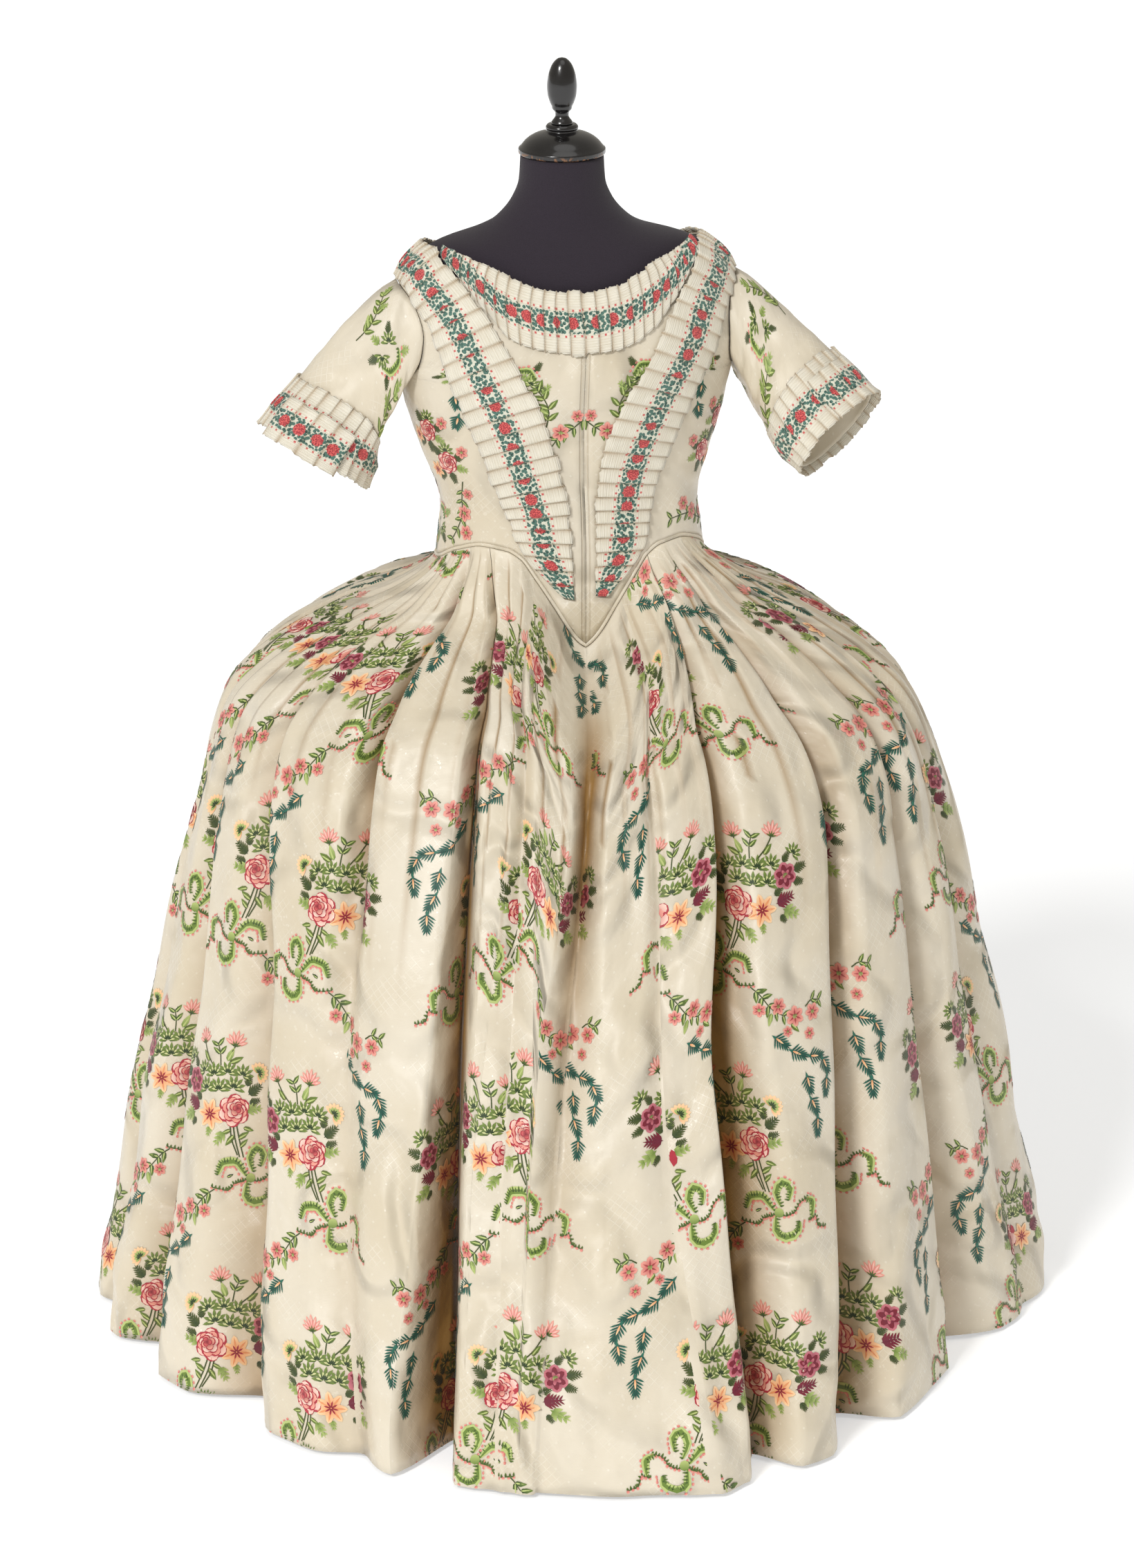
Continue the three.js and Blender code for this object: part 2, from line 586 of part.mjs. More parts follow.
// ---------------------------------------------------------------- sleeves
// The armhole's edge as a closed loop: 0 is the top of the shoulder, 0.5 the underarm.
const ARMHOLE_FROM = 5; // the first row that the armhole bounds
function armholeEdge(share) {
  const front = share <= 0.5;
  const rows = (front ? FRONT_ROWS : BACK_ROWS).slice(ARMHOLE_FROM);
  const down = front ? share * 2 : (1 - share) * 2;
  const row = rowAt([...rows].reverse(), down);
  return { angle: front ? row.outAngle : 180 - row.outAngle, z: row.outZ };
}

const SLEEVE_GAP = 1.35; // between the bodice and the head of a sleeve
function sleeveRoot(sign, share, out) {
  const { angle, z } = armholeEdge(share);
  const middle = bodyPoint(sign * 90, 1262);
  const edge = onBody(sign * angle, z, BODICE_OUT + SLEEVE_GAP);
  const inward = middle.clone().sub(edge);
  inward.addScaledVector(bodyNormal(sign * angle, z), -inward.dot(bodyNormal(sign * angle, z)));
  return edge.addScaledVector(inward.normalize(), CLOTH - out);
}

// A sleeve's surface: along runs from the armhole to the cuff, share goes round from the top.
function sleevePoint(side, sign, along, share, out) {
  const path = SLEEVES[side];
  const at = (column, t) => {
    if (t <= 1) return read(path, "along", column, t);
    const before = read(path, "along", column, 0.9);
    return lerp(before, path.at(-1)[column], (t - 0.9) / 0.1);
  };
  const centre = (t) => new THREE.Vector3(at("x", t) + STAND_X, at("y", t), at("z", t));
  const middle = centre(along);
  const ahead = centre(along + 0.02).sub(centre(along - 0.02 < 0 ? 0 : along - 0.02)).normalize();
  const fore = new THREE.Vector3(0, -1, 0);
  fore.addScaledVector(ahead, -fore.dot(ahead)).normalize();
  const up = new THREE.Vector3().crossVectors(ahead, fore).normalize();
  if (up.z < 0) up.negate();
  const turn = 2 * Math.PI * share;
  const high = at("high", Math.min(along, 1)) - CLOTH + out;
  const deep = at("deep", Math.min(along, 1)) - CLOTH + out;
  const tube = middle
    .clone()
    .addScaledVector(up, high * Math.cos(turn))
    .addScaledVector(fore, deep * Math.sin(turn));
  const root = sleeveRoot(sign, share, Math.min(out, CLOTH)).add(middle.clone().sub(centre(0)));
  const early = 1 - 0.6 * Math.cos(turn);
  return root.lerp(tube, clamp(along / 0.85, 0, 1) ** early);
}

for (const { side, sign } of SIDES) {
  const surface = (out) =>
    SLEEVE_ROWS.map((along) =>
      range(SLEEVE_SIDES).map((i) => sleevePoint(side, sign, along, i / SLEEVE_SIDES, out)),
    );
  add(`sleeve_${side}`, wall(surface(CLOTH), surface(0), true), SILK);
}

// ---------------------------------------------------------------- pleated ribbon
// Shares along a ribbon at which its pleats rise and drop, with the rise at each.
function pleatSteps(pleats, closed = false) {
  const steps = [];
  for (const pleat of range(pleats)) {
    steps.push({ share: pleat / pleats, rise: 0 });
    steps.push({ share: (pleat + 0.86) / pleats, rise: PLEAT_RISE });
  }
  if (!closed) steps.push({ share: 1, rise: 0 });
  return steps;
}

// place(share, across, out) gives a point of the ribbon: across goes from 0 to 1 over its width.
function ribbonWall(pleats, spans, place, closed = false) {
  const steps = pleatSteps(pleats, closed);
  const surface = (thick) =>
    range(spans + 1).map((k) =>
      steps.map(({ share, rise }) => place(share, k / spans, thick * (RIBBON_THICK + rise))),
    );
  return wall(surface(1), surface(0), closed);
}

const SILK_FACE = BODICE_OUT + RIBBON_LIFT;
function stripPlace(side, sign) {
  return (share, across, out) => {
    const row = rowAt(STRIPS[side], share);
    const angle = lerp(row.outAngle, row.inAngle, across);
    return onBody(sign * angle, lerp(row.outZ, row.inZ, across), SILK_FACE + out);
  };
}
function neckPlace(share, across, out) {
  const row = rowAt(NECK_RIBBON, share);
  return onBody(lerp(row.upAngle, row.lowAngle, across), lerp(row.upZ, row.lowZ, across), SILK_FACE + out);
}
add("neckline_ribbon", ribbonWall(NECK_PLEATS, 2, neckPlace), RIBBON);

// The cuff ribbon flares away from the sleeve towards its lower edge.
const CUFF_FLARE = 3;
const cuffLift = (across) => CLOTH + RIBBON_LIFT + CUFF_FLARE * across;
const cuffPlace = (side, sign) => (share, across, out) =>
  sleevePoint(side, sign, lerp(CUFF_FROM, CUFF_TO, across), share, cuffLift(across) + out);

// A turned-back end of ribbon on the outer side of each cuff.
const BOW_LIFT = RIBBON_THICK + PLEAT_RISE + 1.6;
const BOW = {
  left: { from: 0.02, to: 0.2, top: 0.7, bottom: 1.07 },
  right: { from: 0.08, to: 0.3, top: 0.74, bottom: 1.1 },
};
const bowPlace = (side, sign) => (share, across, out) => {
  const { from, to, top, bottom } = BOW[side];
  const along = lerp(top, bottom, across);
  const down = (along - CUFF_FROM) / (CUFF_TO - CUFF_FROM);
  return sleevePoint(side, sign, along, lerp(from, to, share), cuffLift(down) + BOW_LIFT + out);
};

for (const { side, sign } of SIDES) {
  add(`front_ribbon_${side}`, ribbonWall(STRIP_PLEATS, 3, stripPlace(side, sign)), RIBBON);
  add(`cuff_ribbon_${side}`, ribbonWall(CUFF_PLEATS, 2, cuffPlace(side, sign), true), RIBBON);
  add(`cuff_bow_${side}`, ribbonWall(BOW_PLEATS, 2, bowPlace(side, sign)), RIBBON);
}

// ---------------------------------------------------------------- skirt
const LEVELS = ["waist", "hip", "knee", "hem"];
const atLevel = (fold, columns, down) =>
  read(
    LEVELS.map((level, i) => ({ down: LEVEL[level], value: columns[i](fold) })),
    "down",
    "value",
    down,
  );
const foldAngle = (fold, down) =>
  atLevel(fold, [(f) => f.waist, (f) => f.hip, (f) => f.knee, (f) => f.hem], down);
const foldDeep = (fold, down) =>
  atLevel(fold, [() => 0, (f) => f.hipDeep, (f) => f.kneeDeep, (f) => f.hemDeep], down);
const backSlope = (fold, down) =>
  atLevel(fold, [(f) => f.kneeBack, (f) => f.kneeBack, (f) => f.kneeBack, (f) => f.hemBack], down);
const foreSlope = (fold, down) =>
  atLevel(fold, [(f) => f.kneeFore, (f) => f.kneeFore, (f) => f.kneeFore, (f) => f.hemFore], down);

// Where a slope of a fold ends, held back from the middle of the space to its neighbour.
function foldEdges(i, down) {
  const count = FOLDS.length;
  const here = foldAngle(FOLDS[i], down);
  const before = foldAngle(FOLDS[(i + count - 1) % count], down) - (i === 0 ? 360 : 0);
  const after = foldAngle(FOLDS[(i + 1) % count], down) + (i === count - 1 ? 360 : 0);
  return {
    here,
    back: Math.min(backSlope(FOLDS[i], down), 0.46 * (here - before)),
    fore: Math.min(foreSlope(FOLDS[i], down), 0.46 * (after - here)),
  };
}

const domeShift = (z) => read(DOME_SHIFT, "z", "x", z) + STAND_X;
const LEAN_PEAK = 9.48; // makes the lean's greatest value, 60 degrees round, the table's own
function domeRadius(angle, z) {
  const s = Math.sin(degToRad(angle)) ** 2;
  const c = 1 - s;
  const depth = read(DOME, "z", Math.cos(degToRad(angle)) > 0 ? "front" : "back", z);
  const leftFront = Math.sin(degToRad(angle)) > 0 && Math.cos(degToRad(angle)) > 0;
  const lean = leftFront ? LEAN_PEAK * read(DOME, "z", "lean", z) * s ** 3 * c : 0;
  return read(DOME, "z", "side", z) * s + depth * c - 4 * read(DOME, "z", "pinch", z) * s * c - lean;
}

const SKIRT_TOP = 2 * PIPING_RADIUS + 1.1; // the skirt starts this far below the waistline
const FLARE = 60; // the skirt leaves the waist within this height
const FLARE_POINT = 0.4; // and within this much more for each millimetre that its edge dips
// One point of the skirt. waistAngle is where its thread is sewn to the waist.
function skirtPoint(waistAngle, angle, down, deep) {
  const body = waistAngle > 180 ? waistAngle - 360 : waistAngle;
  const local = body - THREE.MathUtils.radToDeg(BODY_TURN);
  const top = belowWaist(local, SKIRT_TOP, EASE_CHEST + CLOTH);
  const z = lerp(top.z, HEM_Z, down);
  const topRadius = Math.hypot(top.x - domeShift(top.z), top.y);
  const drop = FLARE + FLARE_POINT * Math.max(0, 980 - top.z);
  const open = Math.sin((Math.PI / 2) * Math.min(1, (top.z - z) / drop));
  const radius = lerp(topRadius, domeRadius(angle, z), open) - deep;
  const topAngle = THREE.MathUtils.radToDeg(Math.atan2(top.x - domeShift(top.z), -top.y));
  const turn = THREE.MathUtils.euclideanModulo(topAngle - waistAngle + 180, 360) - 180;
  const a = degToRad(angle + turn * Math.max(0, 1 - down / LEVEL.hip));
  return new THREE.Vector3(domeShift(z) + radius * Math.sin(a), -radius * Math.cos(a), z);
}

// Stations round the skirt: each fold has its bottom, the middle and the end of both slopes.
const STATIONS = [
  { reach: 0, press: 1 },
  { reach: 0.5, press: 0.5 },
  { reach: 1, press: 0 },
];

// Angle and depth at a station. The angle at the waist follows the body's own outline.
function stationPoint(i, side, station, down) {
  const edges = foldEdges(i, down);
  const reach = station.reach * (side < 0 ? -edges.back : edges.fore);
  const atWaist = foldEdges(i, 0);
  const waistReach = station.reach * (side < 0 ? -atWaist.back : atWaist.fore);
  return {
    waist: atWaist.here + waistReach,
    angle: edges.here + reach,
    deep: station.press * foldDeep(FOLDS[i], down),
  };
}
function crestPoint(i, share, down) {
  const next = (i + 1) % FOLDS.length;
  const wrap = next === 0 ? 360 : 0;
  const from = stationPoint(i, 1, STATIONS[2], down);
  const to = stationPoint(next, -1, STATIONS[2], down);
  return {
    waist: lerp(from.waist, to.waist + wrap, share),
    angle: lerp(from.angle, to.angle + wrap, share),
    deep: 0,
  };
}

const WIDE_CREST = 9; // degrees between slopes that need a station of their own
function columnsFrom(i) {
  const gap = (down) => crestPoint(i, 1, down).angle - crestPoint(i, 0, down).angle;
  const crests = Math.max(gap(LEVEL.knee), gap(LEVEL.hem)) > WIDE_CREST ? [0.5] : [];
  const next = (i + 1) % FOLDS.length;
  const wrap = next === 0 ? 360 : 0;
  const shift = (point) => ({ ...point, waist: point.waist + wrap, angle: point.angle + wrap });
  return [
    ...STATIONS.map((station) => (down) => stationPoint(i, 1, station, down)),
    ...crests.map((share) => (down) => crestPoint(i, share, down)),
    ...[...STATIONS].reverse().map((station) => (down) => shift(stationPoint(next, -1, station, down))),
  ];
}

// Unit direction from the skirt's wall to its outside at each point, longer in a sharp fold so
// that the wall keeps its thickness.
function gridNormals(grid) {
  const rows = grid.length;
  const columns = grid[0].length;
  return grid.map((row, j) =>
    row.map((point, i) => {
      const up = grid[Math.min(j + 1, rows - 1)][i].clone().sub(grid[Math.max(j - 1, 0)][i]);
      const before = point.clone().sub(row[Math.max(i - 1, 0)]);
      const after = row[Math.min(i + 1, columns - 1)].clone().sub(point);
      const faces = [before, after].filter((v) => v.length() > 0).map((v) => up.clone().cross(v).normalize());
      const normal = faces.reduce((sum, v) => sum.add(v), new THREE.Vector3()).normalize();
      return normal.multiplyScalar(Math.min(2.2, 1 / Math.max(0.3, Math.abs(normal.dot(faces[0])))));
    }),
  );
}

function skirtPanel({ from, to }) {
  const count = FOLDS.length;
  const index = (name) => FOLDS.findIndex((fold) => fold.name === name);
  const first = index(from);
  const folds = (index(to) - first + count) % count;
  const columns = range(folds).flatMap((k) => {
    const list = columnsFrom((first + k) % count);
    return k === 0 ? list : list.slice(1);
  });
  const outer = SKIRT_ROWS.map((down) =>
    columns.map((column) => {
      const { waist, angle, deep } = column(down);
      return skirtPoint(waist, angle, down, deep);
    }),
  );
  const normals = gridNormals(outer);
  const sign = normals[4][4].dot(outer[4][4]) > 0 ? -1 : 1;
  const inner = outer.map((row, j) =>
    row.map((point, i) => point.clone().addScaledVector(normals[j][i], sign * CLOTH)),
  );
  for (const grid of [outer, inner])
    for (const row of grid) {
      const end = row.length - 1;
      row[0].addScaledVector(row[1].clone().sub(row[0]).normalize(), SEAM);
      row[end].addScaledVector(row[end - 1].clone().sub(row[end]).normalize(), SEAM);
    }
  return wall(outer, inner);
}

for (const panel of SKIRT_PANELS) add(panel.name, skirtPanel(panel), SILK);

export default gown;
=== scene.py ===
# %% [markdown]
# # An English gown of brocaded silk on its dress form
# The form comes first, because the gown is fitted on it. Bodice and sleeves follow in silk, with
# their pleated ribbon, then the widths of the skirt, and last the flowers that the loom brocades
# into the silk. All measures in the tables are millimetres. Left and right are the wearer's own,
# and left is +X.

import math

import bmesh
import bpy
import numpy as np
from mathutils import Matrix, Vector
from mathutils.bvhtree import BVHTree
from mathutils.geometry import barycentric_transform


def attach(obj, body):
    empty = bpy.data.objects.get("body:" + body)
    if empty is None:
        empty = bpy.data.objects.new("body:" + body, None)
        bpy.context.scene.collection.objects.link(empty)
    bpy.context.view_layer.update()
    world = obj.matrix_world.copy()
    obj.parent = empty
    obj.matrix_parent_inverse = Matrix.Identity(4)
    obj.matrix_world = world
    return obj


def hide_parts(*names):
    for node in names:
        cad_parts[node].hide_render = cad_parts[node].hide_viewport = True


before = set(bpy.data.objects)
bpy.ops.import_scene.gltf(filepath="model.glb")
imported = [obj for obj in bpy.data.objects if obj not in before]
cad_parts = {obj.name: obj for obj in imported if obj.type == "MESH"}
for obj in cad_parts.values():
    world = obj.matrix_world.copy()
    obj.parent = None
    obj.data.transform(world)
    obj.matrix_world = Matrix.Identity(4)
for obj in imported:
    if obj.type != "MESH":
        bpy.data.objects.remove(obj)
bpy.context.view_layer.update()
MM = 0.001
print(len(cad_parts), "solids in the frame")

# %% [markdown]
# ## Tables of sizes
# A garment is easiest to describe by a few measured rows, as on a pattern cutter's sheet. Between
# two rows a smooth curve is read that never swings past either of them, so that no bump appears
# that nobody measured.

# %% Reading a table of sizes
def table(columns, text):
    rows = np.array([line.split() for line in text.split("\n") if line], float)
    return dict(zip(columns.split(), rows.T))


def named_table(columns, text):
    lines = [line.split() for line in text.split("\n") if line]
    numbers = "\n".join(" ".join(line[1:]) for line in lines)
    return [line[0] for line in lines], table(columns, numbers)


def curve_through(x, y, at):
    """Smooth values of y at the places at, without overshoot."""
    x, y = np.asarray(x, float), np.asarray(y, float)
    slope = np.diff(y) / np.diff(x)
    before, after = slope[:-1], slope[1:]
    both = before + after
    both[both == 0] = 1
    inside = np.where(before * after > 0, 2 * before * after / both, 0)
    tangent = np.concatenate([slope[:1], inside, slope[-1:]])
    at = np.clip(at, x[0], x[-1])
    i = np.clip(np.searchsorted(x, at, side="right") - 1, 0, len(x) - 2)
    span = x[i + 1] - x[i]
    t = (at - x[i]) / span
    return (
        y[i] * (2 * t**3 - 3 * t**2 + 1)
        + tangent[i] * span * (t**3 - 2 * t**2 + t)
        + y[i + 1] * (3 * t**2 - 2 * t**3)
        + tangent[i + 1] * span * (t**3 - t**2)
    )


def read(rows, key, column, at):
    return curve_through(rows[key], rows[column], at)


def row_at(rows, share):
    """Every column of a table at shares from 0 to 1 of its length."""
    count = len(next(iter(rows.values())))
    places = np.linspace(0, 1, count)
    return {name: curve_through(places, values, share) for name, values in rows.items()}


def mix(a, b, t):
    return a + (b - a) * t


print("tables are read with cubic steps")

# %% Level sections of the body and the waistline
BODY = table("z side front back square shift", """
760 150 95 105 2.2 8
850 172 112 126 2.2 8
920 166 118 122 2.2 8
985 160 113 105 2.2 9
1040 154 114 101 2.2 8
1110 174 124 108 2.2 4
1165 191 131 112 2.2 3
1210 200 131 114 2.2 4
1260 207 119 114 2.2 7
1300 205 103 108 2.2 5
1330 196 91 98 2.1 4
1350 177 82 88 2 2
1363 152 76 80 2 0
1377 105 68 70 2 -1
1388 84 62 62 2 0
1413 62 57 57 2 0
1434 54 54 54 2 0
1464 52 52 52 2 0
""")
WAISTLINE = table("angle z", """
0 887
3 899
10 934
18 968
26 996
34 1006
47 1009
64 999
90 976
120 971
150 967
180 961
""")
STAND_X = -12
BODY_TURN = math.radians(6)
print("body from", BODY["z"][0], "to", BODY["z"][-1], "mm")


# %% Points on the body
def signed_power(value, power):
    return np.sign(value) * np.abs(value) ** power


def body_point(angle, z):
    """A point of the body at an angle in degrees from the centre front, and a height."""
    angle, z = np.broadcast_arrays(np.asarray(angle, float), np.asarray(z, float))
    a = np.radians(angle)
    side = read(BODY, "z", "side", z)
    depth = np.where(np.cos(a) > 0, read(BODY, "z", "front", z), read(BODY, "z", "back", z))
    power = 2 / read(BODY, "z", "square", z)
    x, y = side * signed_power(np.sin(a), power), -depth * signed_power(np.cos(a), power)
    c, s = math.cos(BODY_TURN), math.sin(BODY_TURN)
    shift = read(BODY, "z", "shift", z) + STAND_X
    return np.stack([x * c - y * s + shift, x * s + y * c, z], axis=-1)


def unit(v):
    return v / np.maximum(np.linalg.norm(v, axis=-1, keepdims=True), 1e-9)


def body_normal(angle, z):
    across = body_point(angle + 1, z) - body_point(angle - 1, z)
    up = body_point(angle, z + 1) - body_point(angle, z - 1)
    return unit(np.cross(across, up))


def on_body(angle, z, out):
    out = np.asarray(out, float)
    return body_point(angle, z) + body_normal(angle, z) * out[..., None]


def waist_z(angle):
    return read(WAISTLINE, "angle", "z", np.abs(angle))


def below_waist(angle, down, out):
    """A point below the bodice's lower edge, square to that edge."""
    step = 1.5
    ahead, behind = angle + step, angle - step
    edge = unit(body_point(ahead, waist_z(ahead)) - body_point(behind, waist_z(behind)))
    normal = body_normal(angle, waist_z(angle))
    square = unit(np.cross(edge, normal))
    square = square * np.where(square[..., 2:] > 0, -1, 1)
    return body_point(angle, waist_z(angle)) + square * down + normal * out


print("half waist", round(float(body_point(90.0, 1040.0)[0] - STAND_X)), "mm")

# %% [markdown]
# ## Cloth
# A piece of cloth is a grid of small squares. Blender's grid operator makes it flat, and each
# corner is then moved to its place on the body. The grid keeps a second map, in metres of uncut
# cloth, which the weave and the flowers follow, so that the pattern is folded with the cloth and
# never stretched. Solidify gives the cloth its thickness inwards.

# %% Making cloth from a grid
ROOT = "root"


def finished_mesh(bm, name):
    """Turns a bmesh into a mesh and frees it."""
    mesh = bpy.data.meshes.new(name)
    bm.to_mesh(mesh)
    bm.free()
    return mesh


def put_in_scene(name, data):
    made = bpy.data.objects.new(name, data)
    bpy.context.scene.collection.objects.link(made)
    return made


def arc(points, axis):
    """Distance along a grid of points, in its own units, from the first row or column."""
    steps = np.linalg.norm(np.diff(points, axis=axis), axis=-1)
    start = np.zeros_like(np.take(steps, [0], axis=axis))
    return np.concatenate([start, np.cumsum(steps, axis=axis)], axis=axis)


class Patch:
    """One stretch of cloth: its places in space and on the uncut cloth, both as grids in metres.

    hollow says from 0 to 1 how deep in a fold the cloth lies."""

    def __init__(self, xyz, uv, hollow=0.0):
        self.xyz, self.uv = xyz, uv
        self.hollow = np.clip(hollow + np.zeros(xyz.shape[:2]), 0, 1)


def grid_mesh(name, patches, close_round=False):
    """One mesh through patches that share their end columns."""
    rows = patches[0].xyz.shape[0]
    columns = [p.xyz.shape[1] - 1 for p in patches]
    total = sum(columns)
    xyz = np.concatenate([p.xyz[:, :-1] for p in patches] + [patches[-1].xyz[:, -1:]], axis=1)
    hollow = np.concatenate([p.hollow[:, :-1] for p in patches] + [patches[-1].hollow[:, -1:]], axis=1)
    bm = bmesh.new()
    bmesh.ops.create_grid(bm, x_segments=total, y_segments=rows - 1, size=1.0)
    uv_layer = bm.loops.layers.uv.new("cloth")
    hollow_layer = bm.verts.layers.float.new("hollow")
    owner = np.repeat(np.arange(len(patches)), columns)
    start = np.concatenate([[0], np.cumsum(columns)])
    place = {}
    for v in bm.verts:
        column = round((v.co.x + 1) / 2 * total)
        row = round((v.co.y + 1) / 2 * (rows - 1))
        place[v] = (row, column)
    for face in bm.faces:
        face.smooth = True
        first = min(place[v][1] for v in face.verts)
        patch = patches[owner[first]]
        for loop in face.loops:
            row, column = place[loop.vert]
            loop[uv_layer].uv = patch.uv[row, column - start[owner[first]]]
    for v, (row, column) in place.items():
        v.co = xyz[row, column]
        v[hollow_layer] = hollow[row, column]
    bmesh.ops.triangulate(bm, faces=bm.faces[:], quad_method="FIXED")
    if close_round:
        bmesh.ops.remove_doubles(bm, verts=bm.verts[:], dist=1e-5)
    bmesh.ops.recalc_face_normals(bm, faces=bm.faces[:])
    return finished_mesh(bm, name)


def new_piece(name, mesh, material):
    mesh.materials.append(material)
    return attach(put_in_scene(name, mesh), ROOT)


def face_outwards(mesh, outwards):
    """Turns the faces round if they point against the given direction at the middle face."""
    face = mesh.polygons[len(mesh.polygons) // 2]
    if face.normal.dot(Vector(outwards(np.array(face.center)))) < 0:
        mesh.flip_normals()


def flat_box(patches):
    """Lowest and highest corner of the patches on the uncut cloth."""
    low = np.min([p.uv.min((0, 1)) for p in patches], axis=0)
    high = np.max([p.uv.max((0, 1)) for p in patches], axis=0)
    return low, high


def flat_size(patches):
    """Width and length of the uncut cloth that a piece's patches cover together."""
    low, high = flat_box(patches)
    return tuple(float(v) for v in high - low)


CLOTHS = {}


def away_from_stand(point):
    return (point[0] - STAND_X * MM, point[1], 0.0)


def away_from_middle(tube):
    """For a tube of cloth: a function that points from its middle line out to a place on it."""
    middle = tube.mean(1)
    return lambda point: point - middle[np.abs(middle[:, 0] - point[0]).argmin()]


def sew(node, patches, cloth, outwards=away_from_stand, close_round=False):
    """Makes the cloth that takes the place of a solid, and remembers its patches."""
    ending, material, thick, slot = cloth
    name = node + ending
    mesh = grid_mesh(name, patches, close_round)
    face_outwards(mesh, outwards)
    piece = new_piece(name, mesh, material)
    wall = piece.modifiers.new("thickness", "SOLIDIFY")
    wall.thickness = thick * MM
    wall.offset = -1
    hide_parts(node)
    CLOTHS[name] = patches
    print(name, len(mesh.polygons), "faces, flat", [round(v, 3) for v in flat_size(patches)])


print("cloth is ready to be cut")

# %% [markdown]
# ## Finishes
# Silk taffeta is a close weave with a soft, broad shine. Its ground is not plain: the loom lifts
# some threads to draw small dots and a fine lattice in the same cream, which only show because
# they catch the light in another way. The shader makes them smoother and paints them a little
# paler than the ground, as a painted sheen. All of that follows the uncut cloth's own map. Groups
# hold what several finishes share, and the shader itself keeps every number that is the same all over.

# %% Short names for shader nodes
def srgb(r, g, b, a=1.0):
    def linear(c):
        c /= 255
        return c / 12.92 if c <= 0.04045 else ((c + 0.055) / 1.055) ** 2.4

    return (linear(r), linear(g), linear(b), a)


class Wiring:
    def __init__(self, tree):
        self.tree = tree

    def put(self, socket, value):
        if isinstance(value, bpy.types.NodeSocket):
            self.tree.links.new(value, socket)
        else:
            socket.default_value = value

    def node(self, kind, settings=None, **sockets):
        made = self.tree.nodes.new(kind)
        for key, value in (settings or {}).items():
            setattr(made, key, value)
        for key, value in sockets.items():
            self.put(made.inputs[key], value)
        return made

    def math(self, operation, *values):
        made = self.tree.nodes.new("ShaderNodeMath")
        made.operation = operation
        for socket, value in zip(made.inputs, values):
            self.put(socket, value)
        return made.outputs[0]

    def blend(self, share, low, high, way="MIX"):
        made = self.node("ShaderNodeMix", {"data_type": "RGBA", "blend_type": way})
        for socket, value in zip((made.inputs[0], made.inputs[6], made.inputs[7]), (share, low, high)):
            self.put(socket, value)
        return made.outputs[2]

    def step(self, value, low, high):
        """0 below low, 1 above high and soft between; low may be the larger one."""
        made = self.tree.nodes.new("ShaderNodeMapRange")
        made.interpolation_type = "SMOOTHSTEP"
        for socket, number in zip(made.inputs, (value, low, high)):
            self.put(socket, number)
        return made.outputs[0]

    def noise(self, vector, scale, detail=2.0):
        made = self.node("ShaderNodeTexNoise", None, Vector=vector, Scale=scale, Detail=detail)
        return made.outputs["Fac"]

    def cells(self, vector, scale, randomness):
        settings = {"voronoi_dimensions": "2D"}
        made = self.node("ShaderNodeTexVoronoi", settings, Vector=vector, Scale=scale, Randomness=randomness)
        return made.outputs["Distance"]

    def split(self, vector):
        made = self.node("ShaderNodeSeparateXYZ", None, Vector=vector)
        return made.outputs["X"], made.outputs["Y"]

    def cloth_map(self):
        """Where a point lies on the uncut cloth, in metres."""
        return self.node("ShaderNodeUVMap", {"uv_map": "cloth"}).outputs["UV"]

    def attribute(self, name, output):
        return self.node("ShaderNodeAttribute", {"attribute_name": name}).outputs[output]


def new_group(name, inputs, outputs):
    group = bpy.data.node_groups.new(name, "ShaderNodeTree")
    for side, sockets in (("INPUT", inputs), ("OUTPUT", outputs)):
        for label, kind in sockets:
            group.interface.new_socket(name=label, in_out=side, socket_type="NodeSocket" + kind)
    wires = Wiring(group)
    return group, wires, wires.node("NodeGroupInput"), wires.node("NodeGroupOutput")


def new_material(name, **constants):
    material = bpy.data.materials.new(name)
    material.use_nodes = True
    wires = Wiring(material.node_tree)
    shader = material.node_tree.nodes["Principled BSDF"]
    for key, value in constants.items():
        shader.inputs[key.replace("_", " ")].default_value = value
    return material, wires, shader


def use_group(wires, group, **inputs):
    made = wires.node("ShaderNodeGroup", {"node_tree": group})
    for key, value in inputs.items():
        wires.put(made.inputs[key.replace("_", " ")], value)
    return made


def relief(wires, shader, height, depth):
    bump = wires.node("ShaderNodeBump", None, Height=height, Distance=depth, Strength=1.0)
    wires.tree.links.new(bump.outputs["Normal"], shader.inputs["Normal"])


print("shader helpers are ready")

# %% [markdown]
# ### Threads
# Every woven piece shows fine ribs across the cloth, a little uneven, because no thread is quite
# as thick as the next. One group makes them, so silk, flowers and ribbon all share one weave.

# %% The weave group
weave, w, into, out_of = new_group(
    "weave", [("Pitch", "Float")], [("Height", "Float"), ("Shade", "Float")]
)
cloth_map = w.cloth_map()
across, along = w.split(cloth_map)
ribs = w.math("SINE", w.math("MULTIPLY", along, w.math("DIVIDE", 2 * math.pi, into.outputs["Pitch"])))
slub = w.node("ShaderNodeTexNoise", {"noise_dimensions": "2D"}, Scale=1.0, Detail=3.0)
stretched = w.node("ShaderNodeMapping", None, Vector=cloth_map)
stretched.inputs["Scale"].default_value = (60, 900, 1)
w.put(slub.inputs["Vector"], stretched.outputs["Vector"])
w.put(out_of.inputs["Height"], w.math("MULTIPLY_ADD", ribs, 0.3, slub.outputs["Fac"]))
w.put(out_of.inputs["Shade"], slub.outputs["Fac"])
print("weave group made")

# %% [markdown]
# ### The cream ground
# The ground carries a lattice in patches, with a small dot every 22 mm. Age has left the cream a
# little uneven, and the soft creases that cloth keeps after storage go in as low relief. Light that
# reaches the bottom of a fold has been through cream silk many times, so it is dim and brown: the
# fold light group turns a colour that way by how hollow the cloth lies.

